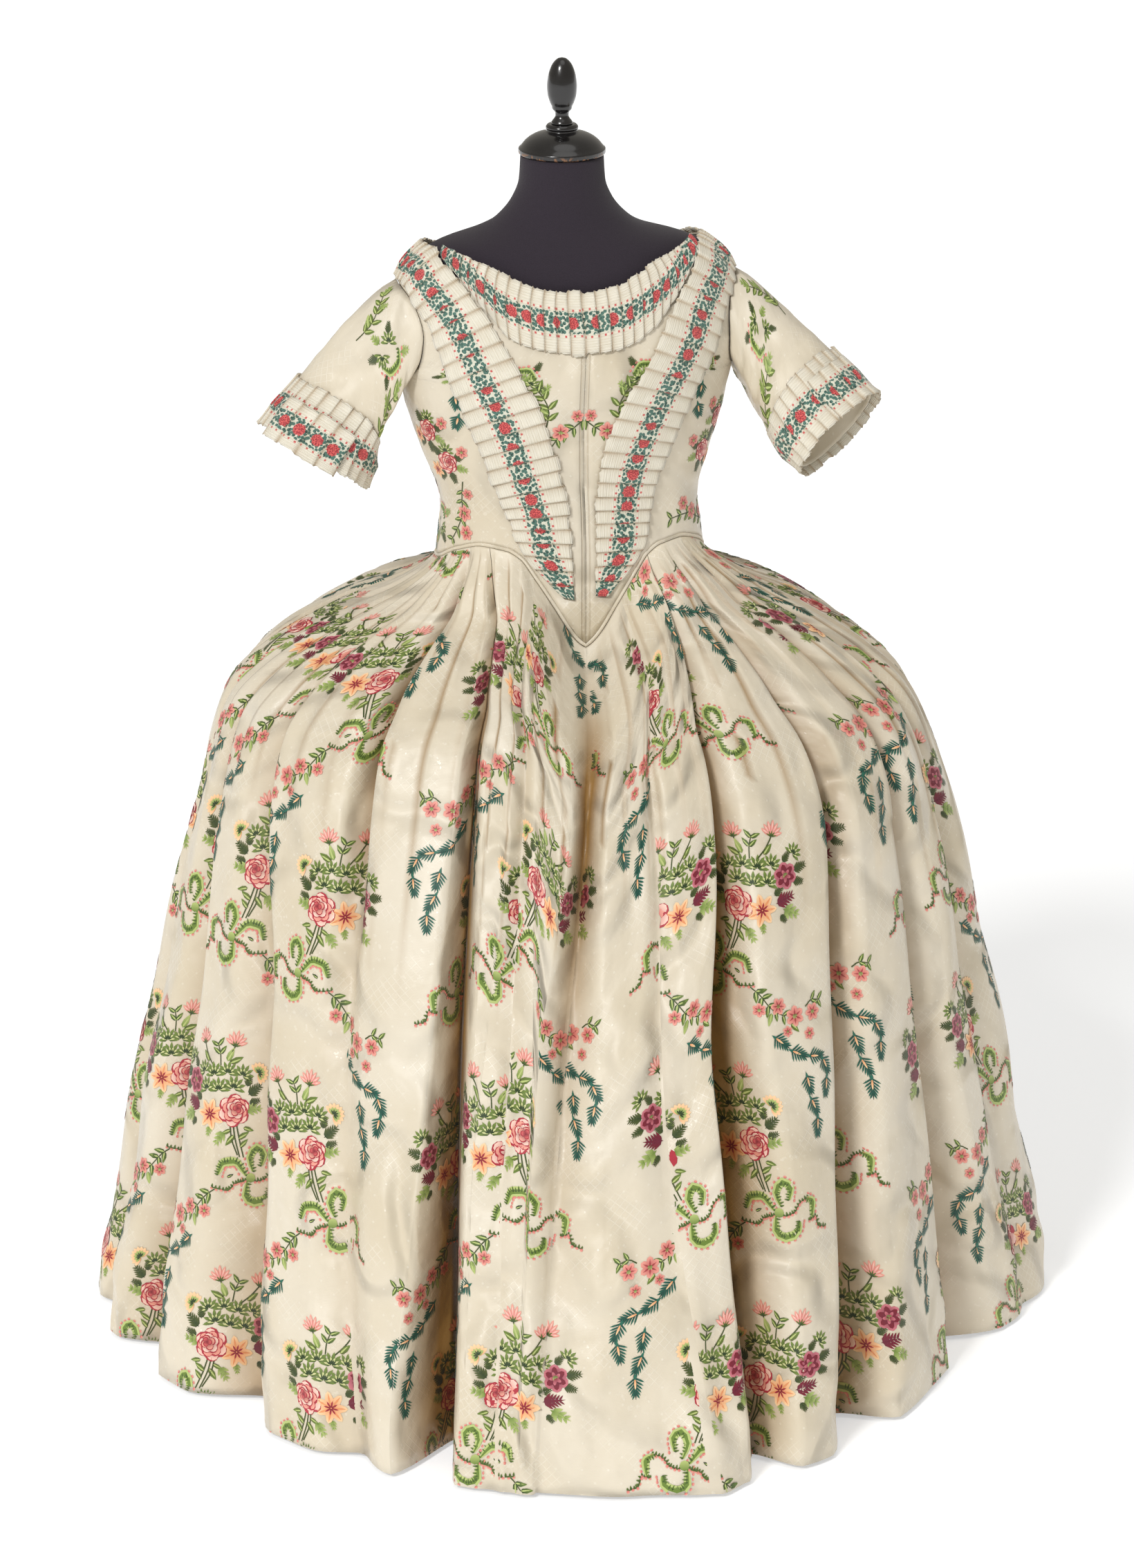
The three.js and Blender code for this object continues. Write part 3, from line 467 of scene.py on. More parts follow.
# %% Light in a fold
fold_light, w, into, out_of = new_group("fold light", [("Colour", "Color")], [("Colour", "Color")])
# painted shade: the brown that colours are multiplied towards where the cloth lies deepest in a fold
DEEPEST = (0.42, 0.26, 0.1, 1.0)
dimmed = w.blend(w.attribute("hollow", "Fac"), into.outputs["Colour"], DEEPEST, "MULTIPLY")
w.put(out_of.inputs["Colour"], dimmed)


def colour_in_folds(wires, shader, colour):
    """Gives the shader a colour that grows dim where the cloth lies deep in a fold."""
    lit = use_group(wires, fold_light, Colour=colour)
    wires.put(shader.inputs["Base Color"], lit.outputs["Colour"])


print("fold light group made")

# %% The silk ground group
ground, w, into, out_of = new_group(
    "silk ground", [], [("Colour", "Color"), ("Roughness", "Float"), ("Height", "Float")]
)
cloth_map = w.cloth_map()
across, along = w.split(cloth_map)
LATTICE = 0.006
DOT_PITCH = 0.022
turned = w.node("ShaderNodeMapping", None, Vector=cloth_map)
turned.inputs["Rotation"].default_value = (0, 0, math.radians(45))
dots = w.step(w.cells(turned.outputs["Vector"], 1 / DOT_PITCH, 0.0), 0.085, 0.05)
one_way = w.math("PINGPONG", w.math("ADD", across, along), LATTICE)
other_way = w.math("PINGPONG", w.math("SUBTRACT", across, along), LATTICE)
lines = w.step(w.math("MINIMUM", one_way, other_way), 0.0011, 0.0004)
patches_of = w.step(w.noise(cloth_map, 17.0, 1.0), 0.5, 0.62)
figure = w.math("MULTIPLY", lines, patches_of)
leafy = w.step(w.noise(cloth_map, 120.0, 3.0), 0.6, 0.66)
sprays = w.math("MULTIPLY", leafy, w.step(w.noise(cloth_map, 9.0, 1.0), 0.52, 0.6))
raised = w.math("MAXIMUM", w.math("MAXIMUM", figure, dots), sprays)
age = w.noise(cloth_map, 5.0, 4.0)
cream = w.blend(w.step(age, 0.3, 0.7), srgb(225, 216, 198), srgb(214, 202, 178))
# painted sheen: the raised lattice, dots and sprays are painted paler than the cream, standing in for the
# light they catch
w.put(out_of.inputs["Colour"], w.blend(w.math("MULTIPLY", raised, 0.32), cream, srgb(240, 234, 220)))
w.put(out_of.inputs["Roughness"], w.math("MULTIPLY_ADD", raised, -0.14, 0.42))
soft = w.noise(cloth_map, 14.0, 3.0)
kinked = w.math("ABSOLUTE", w.math("SUBTRACT", w.noise(cloth_map, 5.5, 1.5), 0.5))
crumple = w.math("MULTIPLY_ADD", w.step(kinked, 0.0, 0.11), 8.0, w.math("MULTIPLY", soft, 5.6))
w.put(out_of.inputs["Height"], w.math("MULTIPLY_ADD", raised, 0.1, crumple))
print("ground group made")


# %% The silk
def silk(name, seam_at=None):
    """seam_at draws a line of stitches this far on both sides of the middle of the cloth."""
    material, wires, shader = new_material(name, Sheen_Weight=0.08, Sheen_Roughness=0.4)
    base = use_group(wires, ground)
    threads = use_group(wires, weave, Pitch=0.0011)
    height = wires.math("MULTIPLY_ADD", threads.outputs["Height"], 0.06, base.outputs["Height"])
    colour = base.outputs["Colour"]
    if seam_at:
        across, _ = wires.split(wires.cloth_map())
        off = wires.math("ABSOLUTE", wires.math("SUBTRACT", wires.math("ABSOLUTE", across), seam_at))
        line = wires.step(off, 0.0012, 0.0002)
        height = wires.math("MULTIPLY_ADD", line, -0.5, height)
        colour = wires.blend(wires.math("MULTIPLY", line, 0.28), colour, srgb(190, 165, 125))
    colour_in_folds(wires, shader, colour)
    wires.put(shader.inputs["Roughness"], base.outputs["Roughness"])
    relief(wires, shader, height, 0.0012)
    return material


SILK = silk("cream silk")
SILK_CLOTH = ("_silk", SILK, 1.2, "brocaded_silk")
BODICE_CLOTH = ("_silk", silk("cream silk with front seam", seam_at=0.0045), 1.2, "brocaded_silk")
print("silk made")

# %% [markdown]
# ### Brocaded flowers
# The coloured flowers are extra threads that the weaver lays in only where a flower shows. Each
# petal keeps its own colour as an attribute, and the shader adds the ribs of the threads.

# %% The flower silk
FLOWER_SILK, wires, shader = new_material("flower silk", Roughness=0.55, Sheen_Weight=0.1)
threads = use_group(wires, weave, Pitch=0.0016)
ribbed = wires.math("MULTIPLY_ADD", threads.outputs["Shade"], 0.5, 0.75)
painted = wires.attribute("flower", "Color")
colour_in_folds(wires, shader, wires.blend(1.0, painted, ribbed, "MULTIPLY"))
relief(wires, shader, threads.outputs["Height"], 0.0002)
print("flower silk made")

# %% [markdown]
# ### The woven ribbon
# The trimming is a ribbon with cream borders and a flowered band down its middle: red roses every
# 36 mm on a teal and white leafy ground, with a row of small red berries along both edges. It runs
# lengthwise, so the first number of the map is how far along the ribbon a point lies.

# %% The ribbon
RIBBON, w, shader = new_material("woven ribbon", Roughness=0.7, Sheen_Weight=0.3)
cloth_map = w.cloth_map()
length_at, width_at = w.split(cloth_map)
ROSE_PITCH, ROSE_RADIUS, BAND_HALF = 0.036, 0.0082, 0.0135
repeat_at = w.math("MODULO", w.math("ADD", length_at, 10 * ROSE_PITCH), ROSE_PITCH)
in_rose = w.math("SUBTRACT", repeat_at, ROSE_PITCH / 2)
from_rose = w.math("SQRT", w.math("ADD", w.math("POWER", in_rose, 2.0), w.math("POWER", width_at, 2.0)))
ragged = w.math("MULTIPLY_ADD", w.noise(cloth_map, 420.0, 2.0), 0.006, -0.003)
rose = w.step(w.math("ADD", from_rose, ragged), ROSE_RADIUS, ROSE_RADIUS - 0.0012)
off_middle = w.math("ADD", w.math("ABSOLUTE", width_at), ragged)
band = w.step(off_middle, BAND_HALF, BAND_HALF - 0.001)
leaves = w.step(w.cells(cloth_map, 230.0, 1.0), 0.56, 0.42)
dark_leaves = w.step(w.noise(cloth_map, 330.0, 1.0), 0.55, 0.62)
lace = w.step(w.cells(cloth_map, 260.0, 0.6), 0.6, 0.5)
leaf_colour = w.blend(dark_leaves, srgb(78, 118, 106), srgb(32, 62, 56))
in_band = w.blend(leaves, srgb(222, 222, 204), leaf_colour)
petals = w.cells(cloth_map, 520.0, 1.0)
rose_colour = w.blend(w.step(petals, 0.2, 0.55), srgb(150, 30, 46), srgb(222, 96, 92))
berry_row = w.math("ABSOLUTE", w.math("SUBTRACT", w.math("ABSOLUTE", width_at), 0.0158))
berry_step = w.math("PINGPONG", length_at, 0.0042)
berries = w.math("MULTIPLY", w.step(berry_row, 0.0018, 0.0008), w.step(berry_step, 0.0017, 0.0008))
rib = w.step(w.math("PINGPONG", w.math("ABSOLUTE", width_at), 0.0016), 0.0004, 0.0012)
worn = w.math("MULTIPLY", w.noise(cloth_map, 60.0, 3.0), w.math("MULTIPLY_ADD", rib, 0.5, 0.5))
paper = w.blend(worn, srgb(238, 233, 219), srgb(208, 198, 174))
colour = w.blend(berries, paper, srgb(206, 92, 88))
colour = w.blend(band, colour, in_band)
colour = w.blend(rose, colour, rose_colour)
threads = use_group(w, weave, Pitch=0.0022)
colour_in_folds(w, shader, colour)
figure = w.math("MULTIPLY", w.math("MAXIMUM", band, rose), lace)
relief(w, shader, w.math("MULTIPLY_ADD", figure, 0.5, threads.outputs["Height"]), 0.0005)
RIBBON_CLOTH = ("_woven", RIBBON, 0.5, "woven_ribbon")
print("ribbon made")

# %% [markdown]
# ### The form's own finishes
# The form is covered in a dark jersey, a knitted cloth that swallows light, and its wood is
# lacquered black. Lacquer shines sharply and chips on edges that hands touch, so the wood shows
# through along the rim of the neck cap.

# %% Jersey and lacquer
JERSEY, w, shader = new_material("form jersey", Roughness=0.95, Sheen_Weight=0.1, Sheen_Roughness=0.5)
spot = w.node("ShaderNodeTexCoord").outputs["Object"]
fuzz = w.noise(spot, 900.0, 2.0)
w.put(shader.inputs["Base Color"], w.blend(fuzz, srgb(32, 25, 34), srgb(50, 42, 53)))
relief(w, shader, fuzz, 0.0004)

LACQUER, w, shader = new_material("black lacquer", Coat_Weight=0.6, Coat_Roughness=0.08)
spot = w.node("ShaderNodeTexCoord").outputs["Object"]
height = w.node("ShaderNodeSeparateXYZ", None, Vector=spot).outputs["Z"]
RIM_Z = 1.4675
rim = w.step(w.math("ABSOLUTE", w.math("SUBTRACT", height, RIM_Z)), 0.0035, 0.0008)
chips = w.math("MULTIPLY", rim, w.step(w.noise(spot, 170.0, 4.0), 0.5, 0.58))
grain = w.noise(spot, 60.0, 4.0)
black = w.blend(grain, srgb(8, 7, 8), srgb(22, 19, 20))
polish = w.math("MULTIPLY_ADD", grain, 0.2, 0.14)
w.put(shader.inputs["Base Color"], w.blend(chips, black, srgb(120, 82, 52)))
w.put(shader.inputs["Roughness"], w.math("MULTIPLY_ADD", chips, 0.4, polish))
relief(w, shader, w.math("MULTIPLY_ADD", chips, -1.0, grain), 0.0003)
print("jersey and lacquer made")

# %% [markdown]
# ## The dress form
# The body is one smooth, padded shape under stretched jersey. Level rings are drawn from the
# table, and its two ends are closed by filling the open loops. Turned wood is made as a turner
# makes it: half an outline is spun about the stand's axis.

# %% The padded body
EASE_CHEST = 1
CLOTH = 2
BODICE_OUT = EASE_CHEST + CLOTH


def smoothstep(value, low, high):
    t = np.clip((value - low) / (high - low), 0, 1)
    return t * t * (3 - 2 * t)


form_z = np.unique(np.concatenate([np.linspace(760, 1340, 40), np.linspace(1340, 1464, 34)]))
form_angle = np.linspace(0, 360, 97)
inset = mix(2.1, 3.5, smoothstep(1230 - form_z, 0, 120))
rings = on_body(form_angle[None], form_z[:, None], np.repeat(-inset[:, None], len(form_angle), 1)) * MM
form_mesh = grid_mesh("form_body", [Patch(rings, rings[..., :2])], close_round=True)
bm = bmesh.new()
bm.from_mesh(form_mesh)
bmesh.ops.holes_fill(bm, edges=[e for e in bm.edges if e.is_boundary], sides=0)
bmesh.ops.recalc_face_normals(bm, faces=bm.faces[:])
bm.to_mesh(form_mesh)
bm.free()
form_body = new_piece("form_body", form_mesh, JERSEY)
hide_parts("form_torso")
print("form body", len(form_mesh.polygons), "faces")


# %% Turned wood
def turned_piece(name, node, outline, steps=72):
    """Spins half an outline, as (radius, height) in mm, about the stand's axis."""
    bm = bmesh.new()
    chain = [bm.verts.new((r * MM, 0, z * MM)) for r, z in outline]
    edges = [bm.edges.new(pair) for pair in zip(chain, chain[1:])]
    bmesh.ops.spin(bm, geom=chain + edges, cent=(0, 0, 0), axis=(0, 0, 1),
                   angle=2 * math.pi, steps=steps, use_merge=True)
    bmesh.ops.remove_doubles(bm, verts=bm.verts[:], dist=1e-6)
    bmesh.ops.translate(bm, verts=bm.verts[:], vec=(STAND_X * MM, 0, 0))
    bmesh.ops.recalc_face_normals(bm, faces=bm.faces[:])
    for face in bm.faces:
        face.smooth = True
    mesh = finished_mesh(bm, name)
    piece = new_piece(name, mesh, LACQUER)
    edge = piece.modifiers.new("soft edges", "BEVEL")
    edge.width = 0.7 * MM
    edge.segments = 2
    edge.angle_limit = math.radians(35)
    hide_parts(node)
    print(name, len(mesh.polygons), "faces")


NECK_TOP = 1464
cap_outline = [(0, 0.3), (50, 0.3), (52.5, 2.4), (52.5, 7.4), (51, 9), (49.4, 10.2), (47.5, 13),
               (43.8, 17), (39.2, 20.6), (33.6, 23.7), (27.6, 26), (22, 27.4), (18.6, 28.6),
               (18.6, 30.4), (19.6, 31.6), (19.6, 33.8), (18.6, 35.2), (17, 36.8), (0, 36.8)]
turned_piece("neck_cap", "form_cap", [(r, NECK_TOP + z) for r, z in cap_outline])
finial_rows = table("share radius", """
0 13.2
0.03 12.6
0.07 10
0.12 8
0.18 8.6
0.22 11.8
0.26 12.2
0.31 14.2
0.45 17.4
0.57 18
0.72 16.7
0.87 12.8
0.95 8.4
0.985 4.8
""")
FINIAL_FOOT, FINIAL_HEIGHT = 1501.3, 80
shares = np.linspace(0, finial_rows["share"][-1], 40)
radii = read(finial_rows, "share", "radius", shares)
egg = [(float(r), FINIAL_FOOT + t * FINIAL_HEIGHT) for r, t in zip(radii, shares)]
ends = [(0, FINIAL_FOOT)], [(0, FINIAL_FOOT + FINIAL_HEIGHT)]
turned_piece("neck_finial", "form_finial", ends[0] + egg + ends[1])

for node in ("form_pole", "form_base"):
    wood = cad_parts[node]
    wood.data.materials.clear()
    wood.data.materials.append(LACQUER)
print("the pole and base keep their solids and take the lacquer")

# %% [markdown]
# ## The bodice
# Four pieces are joined at the centre front, sides, shoulders and centre back. The body's own
# surface gives each point its place, just clear of the form, and the silk is a little creased
# where it is strained round the waist and under the arms.

# %% Bodice rows
FRONT_ROWS = table("inAngle inZ outAngle outZ", """
0 1045 90 1045
0 1075 90 1075
0 1105 90 1105
0 1138 90 1138
0 1172 90 1172
0 1205 90 1203
0 1230 76 1209
0 1262 64 1232
0 1293 61 1262
25 1311 64 1287
44 1331 72 1306
62 1346 79 1312
77 1352 85 1315
90 1355 90 1316
""")
BACK_ROWS = table("inAngle inZ outAngle outZ", """
0 1045 90 1045
0 1085 90 1075
0 1125 90 1105
0 1165 90 1138
0 1205 90 1172
0 1242 90 1203
0 1272 76 1209
0 1296 66 1232
0 1318 63 1262
25 1326 66 1287
46 1338 73 1306
63 1348 79 1312
77 1353 85 1315
90 1355 90 1316
""")


def creases(angle, z):
    """Small strained folds round the waist and from the armhole, in mm."""
    a = np.radians(angle)
    waist = np.exp(-(((z - 1035) / 38) ** 2)) * np.abs(np.sin(a)) ** 3
    pull = np.exp(-(((z - 1175) / 40) ** 2)) * np.abs(np.sin(a)) ** 4
    return 0.55 * waist * np.sin(z / 5.2 + 2.5 * np.sin(2 * a)) + 0.5 * pull * np.sin((z + 40 * a) / 6.0)


def bodice_patch(rows, sign, back):
    count = len(rows["inZ"])
    up = np.concatenate([np.linspace(-1, 0, 13)[:-1], np.linspace(0, count - 1, 53)])[:, None]
    across = np.linspace(0, 1, 31)[None]
    turn = (lambda angle: sign * (180 - angle)) if back else (lambda angle: sign * angle)
    places = np.arange(count)
    column = {name: curve_through(places, values, np.maximum(up, 0)) for name, values in rows.items()}
    angle = turn(np.clip(mix(column["inAngle"], column["outAngle"], across), 0.03, 89.97))
    level = mix(column["inZ"], column["outZ"], across)
    z = np.where(up < 0, mix(waist_z(angle), level, up + 1), level)
    xyz = on_body(angle, z, BODICE_OUT + creases(angle, z) * smoothstep(np.abs(angle), 2, 20)) * MM
    steps = np.linspace(0, 1, 16)[:, None, None]
    from_middle = turn(np.zeros(1)) + (angle - turn(np.zeros(1))) * steps
    u = arc(body_point(from_middle, z[None] + 0 * steps), 0)[-1] * MM
    v = arc(xyz, 0) + (waist_z(angle[:1]) - 960) * MM
    return Patch(xyz, np.stack([u * (sign if not back else -sign), v], axis=-1))


SIDES = (("left", 1), ("right", -1))
for side, sign in SIDES:
    sew(f"bodice_front_{side}", [bodice_patch(FRONT_ROWS, sign, False)], BODICE_CLOTH)
    sew(f"bodice_back_{side}", [bodice_patch(BACK_ROWS, sign, True)], BODICE_CLOTH)

# %% [markdown]
# ### Piping
# A narrow strip of silk is wrapped round a cord and sewn into the lower edge, which makes it firm
# and hides the seam with the skirt.

# %% Waist piping
PIPING_RADIUS, PIPING_PLUMP = 1.9, 2.35
PIPING_DOWN = PIPING_RADIUS + 0.5
pipe_angle = np.linspace(-180, 180, 361)
middle = below_waist(pipe_angle, PIPING_DOWN, EASE_CHEST + CLOTH / 2)
middle[-1] = middle[0]
out = body_normal(pipe_angle, waist_z(pipe_angle))
square = unit(np.cross(unit(np.gradient(middle, axis=0)), out))
turn = np.linspace(0, 2 * np.pi, 11)[:, None, None]
ring = middle + PIPING_PLUMP * (out * np.cos(turn) + square * np.sin(turn))
pipe_uv = np.stack(np.broadcast_arrays(arc(middle, 0)[None] * MM, turn[..., 0] * PIPING_RADIUS * MM), axis=-1)
pipe_mesh = grid_mesh("waist_piping_silk", [Patch(ring * MM, pipe_uv)], close_round=True)
piping = new_piece("waist_piping_silk", pipe_mesh, SILK)
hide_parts("waist_piping")
print("piping", round(float(arc(middle, 0)[-1]) / 1000, 3), "m round")

# %% [markdown]
# ## Sleeves
# A short close sleeve is a tube from the armhole to the elbow. It starts on the armhole's own
# edge, bends forward with the arm it was cut for, and carries soft drag folds below the shoulder.

# %% Sleeve rows
SLEEVE_LEFT = table("along x y z high deep", """
0 216 0 1264 62 56
0.33 250 -22 1212 70 54
0.67 288 -48 1170 68 53
1 325 -74 1137 61 53
""")
SLEEVE_RIGHT = table("along x y z high deep", """
0 -208 0 1262 62 56
0.33 -243 -9 1203 68 54
0.67 -273 -17 1152 69 54
1 -300 -26 1110 70 55
""")
SLEEVES = {"left": SLEEVE_LEFT, "right": SLEEVE_RIGHT}
ARMHOLE_FROM = 5
SLEEVE_GAP = 1.35


def armhole_edge(share):
    """Angle and height on the armhole: 0 is the top of the shoulder, 0.5 the underarm."""
    down = np.where(share <= 0.5, share * 2, (1 - share) * 2)
    ends = []
    for rows in (FRONT_ROWS, BACK_ROWS):
        lower = {name: values[ARMHOLE_FROM:][::-1] for name, values in rows.items()}
        ends.append(row_at(lower, down))
    front = share <= 0.5
    angle = np.where(front, ends[0]["outAngle"], 180 - ends[1]["outAngle"])
    return angle, np.where(front, ends[0]["outZ"], ends[1]["outZ"])


def sleeve_root(sign, share, out):
    angle, z = armhole_edge(share)
    edge = on_body(sign * angle, z, np.full_like(z, BODICE_OUT + SLEEVE_GAP))
    normal = body_normal(sign * angle, z)
    inward = body_point(sign * 90.0, 1262.0) - edge
    inward = unit(inward - normal * (inward * normal).sum(-1, keepdims=True))
    return edge + inward * (CLOTH - out)[..., None]


def sleeve_point(side, sign, along, share, out):
    """A point of the sleeve out mm from its inside; along runs from armhole to cuff."""
    path = SLEEVES[side]
    along, share, out = np.broadcast_arrays(*(np.asarray(v, float) for v in (along, share, out)))

    def at(column, t):
        near_end = read(path, "along", column, np.full_like(t, 0.9))
        beyond = mix(near_end, path[column][-1], (t - 0.9) / 0.1)
        return np.where(t <= 1, read(path, "along", column, t), beyond)

    def centre(t):
        return np.stack([at("x", t) + STAND_X, at("y", t), at("z", t)], axis=-1)

    middle = centre(along)
    ahead = unit(centre(along + 0.02) - centre(np.maximum(along - 0.02, 0)))
    fore = np.array([0.0, -1, 0])
    fore = unit(fore - ahead * (ahead @ fore)[..., None])
    up = np.cross(ahead, fore)
    up = unit(up * np.where(up[..., 2:] < 0, -1, 1))
    turn = 2 * np.pi * share
    end = np.minimum(along, 1)
    high = at("high", end) - CLOTH + out
    deep = at("deep", end) - CLOTH + out
    tube = middle + up * (high * np.cos(turn))[..., None] + fore * (deep * np.sin(turn))[..., None]
    root = sleeve_root(sign, share, np.minimum(out, CLOTH)) + middle - centre(np.zeros_like(along))
    early = 1 - 0.6 * np.cos(turn)
    return mix(root, tube, (np.clip(along / 0.85, 0, 1) ** early)[..., None])


def drag_folds(along, share):
    under = 0.5 - 0.5 * np.cos(2 * np.pi * share)
    fade = np.sin(np.pi * np.clip(along / 0.62, 0, 1)) ** 2
    wave = np.sin(2 * np.pi * (4.2 * along + 0.55 * np.sin(2 * np.pi * share + 0.6)))
    fine = np.sin(2 * np.pi * (9.3 * along - 0.9 * np.sin(2 * np.pi * share)))
    return fade * (0.35 + under) * (2.3 * wave + 0.9 * fine)


for side, sign in SIDES:
    along = np.linspace(0, 1, 45)[:, None]
    share = np.linspace(0, 1, 73)[None]
    xyz = sleeve_point(side, sign, along, share, CLOTH + drag_folds(along, share)) * MM
    girth = arc(xyz, 1)[-1, -1]
    u = (share - 0.5) * girth + 0 * along
    v = -arc(xyz, 0)
    sew(f"sleeve_{side}", [Patch(xyz, np.stack([u, v], axis=-1))], SILK_CLOTH,
        away_from_middle(xyz), close_round=True)

# %% [markdown]
# ## Pleated ribbon
# The ribbon is laid in knife pleats as it is sewn down: it runs for 15 to 20 mm, is folded back
# under itself, and runs on. Each pleat is its own stretch of the ribbon's map, and the map skips
# the cloth that is folded away, so the woven roses are cut and shifted as on real pleats. Picot
# loops along both edges make them lightly scalloped.

# %% Ribbon rows
STRIP_LEFT = table("outAngle outZ inAngle inZ", """
122 1296 140 1336
100 1318 112 1354
82 1318 74 1358
59 1281 37 1315
47 1216 22 1246
37 1148 10 1169
31 1080 4 1090
27 1015 3 1018
7 944 3 946
""")
STRIP_RIGHT = table("outAngle outZ inAngle inZ", """
122 1296 140 1336
100 1318 112 1354
82 1318 74 1358
59 1281 38 1315
48 1212 23 1244
40 1140 12 1168
36 1070 7 1088
29 1014 5 1012
8 945 4 942
""")
NECK_RIBBON = table("upAngle upZ lowAngle lowZ", """
-60 1359 -57 1351
-50 1355 -44 1331
-36 1346 -32 1300
-22 1332 -22 1264
-10 1321 -11 1250
0 1317 0 1246
11 1322 10 1250
23 1336 20 1267
36 1347 31 1300
50 1355 44 1331
60 1359 57 1351
""")
# The neck ribbon's ends are tucked in under the strips.
for end, sign in ((0, -1), (-1, 1)):
    for column, value in (("upAngle", sign * 70), ("upZ", 1361), ("lowAngle", sign * 66), ("lowZ", 1357)):
        NECK_RIBBON[column][end] = value
STRIPS = {"left": STRIP_LEFT, "right": STRIP_RIGHT}
RIBBON_LIFT, RIBBON_THICK, PLEAT_RISE = 1.3, 1.1, 2.2
STRIP_PLEATS, NECK_PLEATS, CUFF_PLEATS, BOW_PLEATS = 32, 28, 24, 4
SILK_FACE = BODICE_OUT + RIBBON_LIFT
PLEAT_SHARES = np.array([0, 0.08, 0.2, 0.38, 0.58, 0.76, 0.88, 0.94, 1.0])
PLEAT_HEIGHTS = np.array([0, 0.06, 0.2, 0.45, 0.75, 1.0, 1.1, 0.5, 0.0])
# painted shade: the hollow at each pleat joint, where the ribbon folds under, dims its colour through the
# fold light group
PLEAT_HOLLOWS = np.array([1.0, 0.55, 0.2, 0.05, 0.0, 0.0, 0.0, 0.5, 1.0])
FOLDED_AWAY = 0.009
PICOT, UNEVEN = 0.017, 0.026
chance = np.random.default_rng(11)


def pleated(place, pleats, rows=15, skew=0.25, ruffle=0.45):
    """One patch for each pleat. place takes share along, share across and mm out from the silk."""
    patches = []
    v = np.linspace(0, 1, rows)[:, None]
    edge = np.abs(2 * v - 1) ** 3
    run = 0.0
    for pleat in range(pleats):
        size, lean, lift = chance.uniform(0.75, 1.1), chance.uniform(-1, 1), chance.uniform(0, 1)
        shape = PLEAT_SHARES[None]
        slant = lean * skew * (v - 0.5) * np.sin(np.pi * shape)
        share = (pleat + shape + slant) / pleats
        rise = PLEAT_RISE * size * PLEAT_HEIGHTS[None] * (1 + ruffle * edge * lift)
        picot = PICOT * np.cos(2 * np.pi * shape * 3) * (edge > 0.9)
        step = chance.uniform(-UNEVEN, UNEVEN) * edge
        across = v + (picot + step) * np.sign(2 * v - 1)
        xyz = place(share, across, RIBBON_THICK + rise) * MM
        wide = arc(xyz, 0)[-1].mean()
        u = run + arc(xyz, 1)[rows // 2][None] + 0 * v
        run = u[0, -1] + FOLDED_AWAY * chance.uniform(0.4, 1.8)
        hollow = 0.72 * PLEAT_HOLLOWS[None] * (0.6 + 0.4 * edge)
        patches.append(Patch(xyz, np.stack([u, (across - 0.5) * wide + 0 * u], axis=-1), hollow))
    for before, after in zip(patches, patches[1:]):
        joint = (before.xyz[:, -1] + after.xyz[:, 0]) / 2
        before.xyz[:, -1] = joint
        after.xyz[:, 0] = joint
    return patches


def strip_place(side, sign):
    def place(share, across, out):
        row = row_at(STRIPS[side], share)
        angle = sign * mix(row["outAngle"], row["inAngle"], across)
        return on_body(angle, mix(row["outZ"], row["inZ"], across), SILK_FACE + out)

    return place


def neck_place(share, across, out):
    row = row_at(NECK_RIBBON, share)
    angle = mix(row["upAngle"], row["lowAngle"], across)
    return on_body(angle, mix(row["upZ"], row["lowZ"], across), SILK_FACE + out)


CUFF_FROM, CUFF_TO, CUFF_FLARE = 0.6, 1.05, 3


def cuff_lift(across):
    return CLOTH + RIBBON_LIFT + CUFF_FLARE * across


def cuff_place(side, sign):
    def place(share, across, out):
        return sleeve_point(side, sign, mix(CUFF_FROM, CUFF_TO, across), share % 1.0, cuff_lift(across) + out)

    return place


BOW_LIFT = RIBBON_THICK + PLEAT_RISE + 1.6
BOW = {"left": (0.02, 0.2, 0.7, 1.07), "right": (0.08, 0.3, 0.74, 1.1)}


def bow_place(side, sign):
    start, end, top, bottom = BOW[side]

    def place(share, across, out):
        along = mix(top, bottom, across)
        down = (along - CUFF_FROM) / (CUFF_TO - CUFF_FROM)
        return sleeve_point(side, sign, along, mix(start, end, share), cuff_lift(down) + BOW_LIFT + out)

    return place


def away_from_arm(side, sign):
    quarters = np.array([0.0, 0.25, 0.5, 0.75])
    middle = sleeve_point(side, sign, 0.9, quarters, 0.0).mean(0) * MM
    return lambda point: point - middle


sew("neckline_ribbon", pleated(neck_place, NECK_PLEATS), RIBBON_CLOTH)
for side, sign in SIDES:
    strip = pleated(strip_place(side, sign), STRIP_PLEATS)
    sew(f"front_ribbon_{side}", strip, RIBBON_CLOTH)
    outwards = away_from_arm(side, sign)
    cuff = pleated(cuff_place(side, sign), CUFF_PLEATS, skew=0.5, ruffle=1.5)
    sew(f"cuff_ribbon_{side}", cuff, RIBBON_CLOTH, outwards, close_round=True)
    bow = pleated(bow_place(side, sign), BOW_PLEATS, skew=0.7, ruffle=1.2)
    sew(f"cuff_bow_{side}", bow, RIBBON_CLOTH, outwards)

# %% [markdown]
# ## The skirt
# Straight widths of silk are pleated into the waist and fall open over the hips. Each row of the
# table is one hollow fold: where it lies at the waist, hip, knee and hem, and how deeply it is
# pressed in there. Between two hollows lies a rounded lobe. The cloth's map is kept true on every
# lobe, measured out from its middle line, so the silk that the pleats hide near the waist is left
# out, as it is on the real skirt.

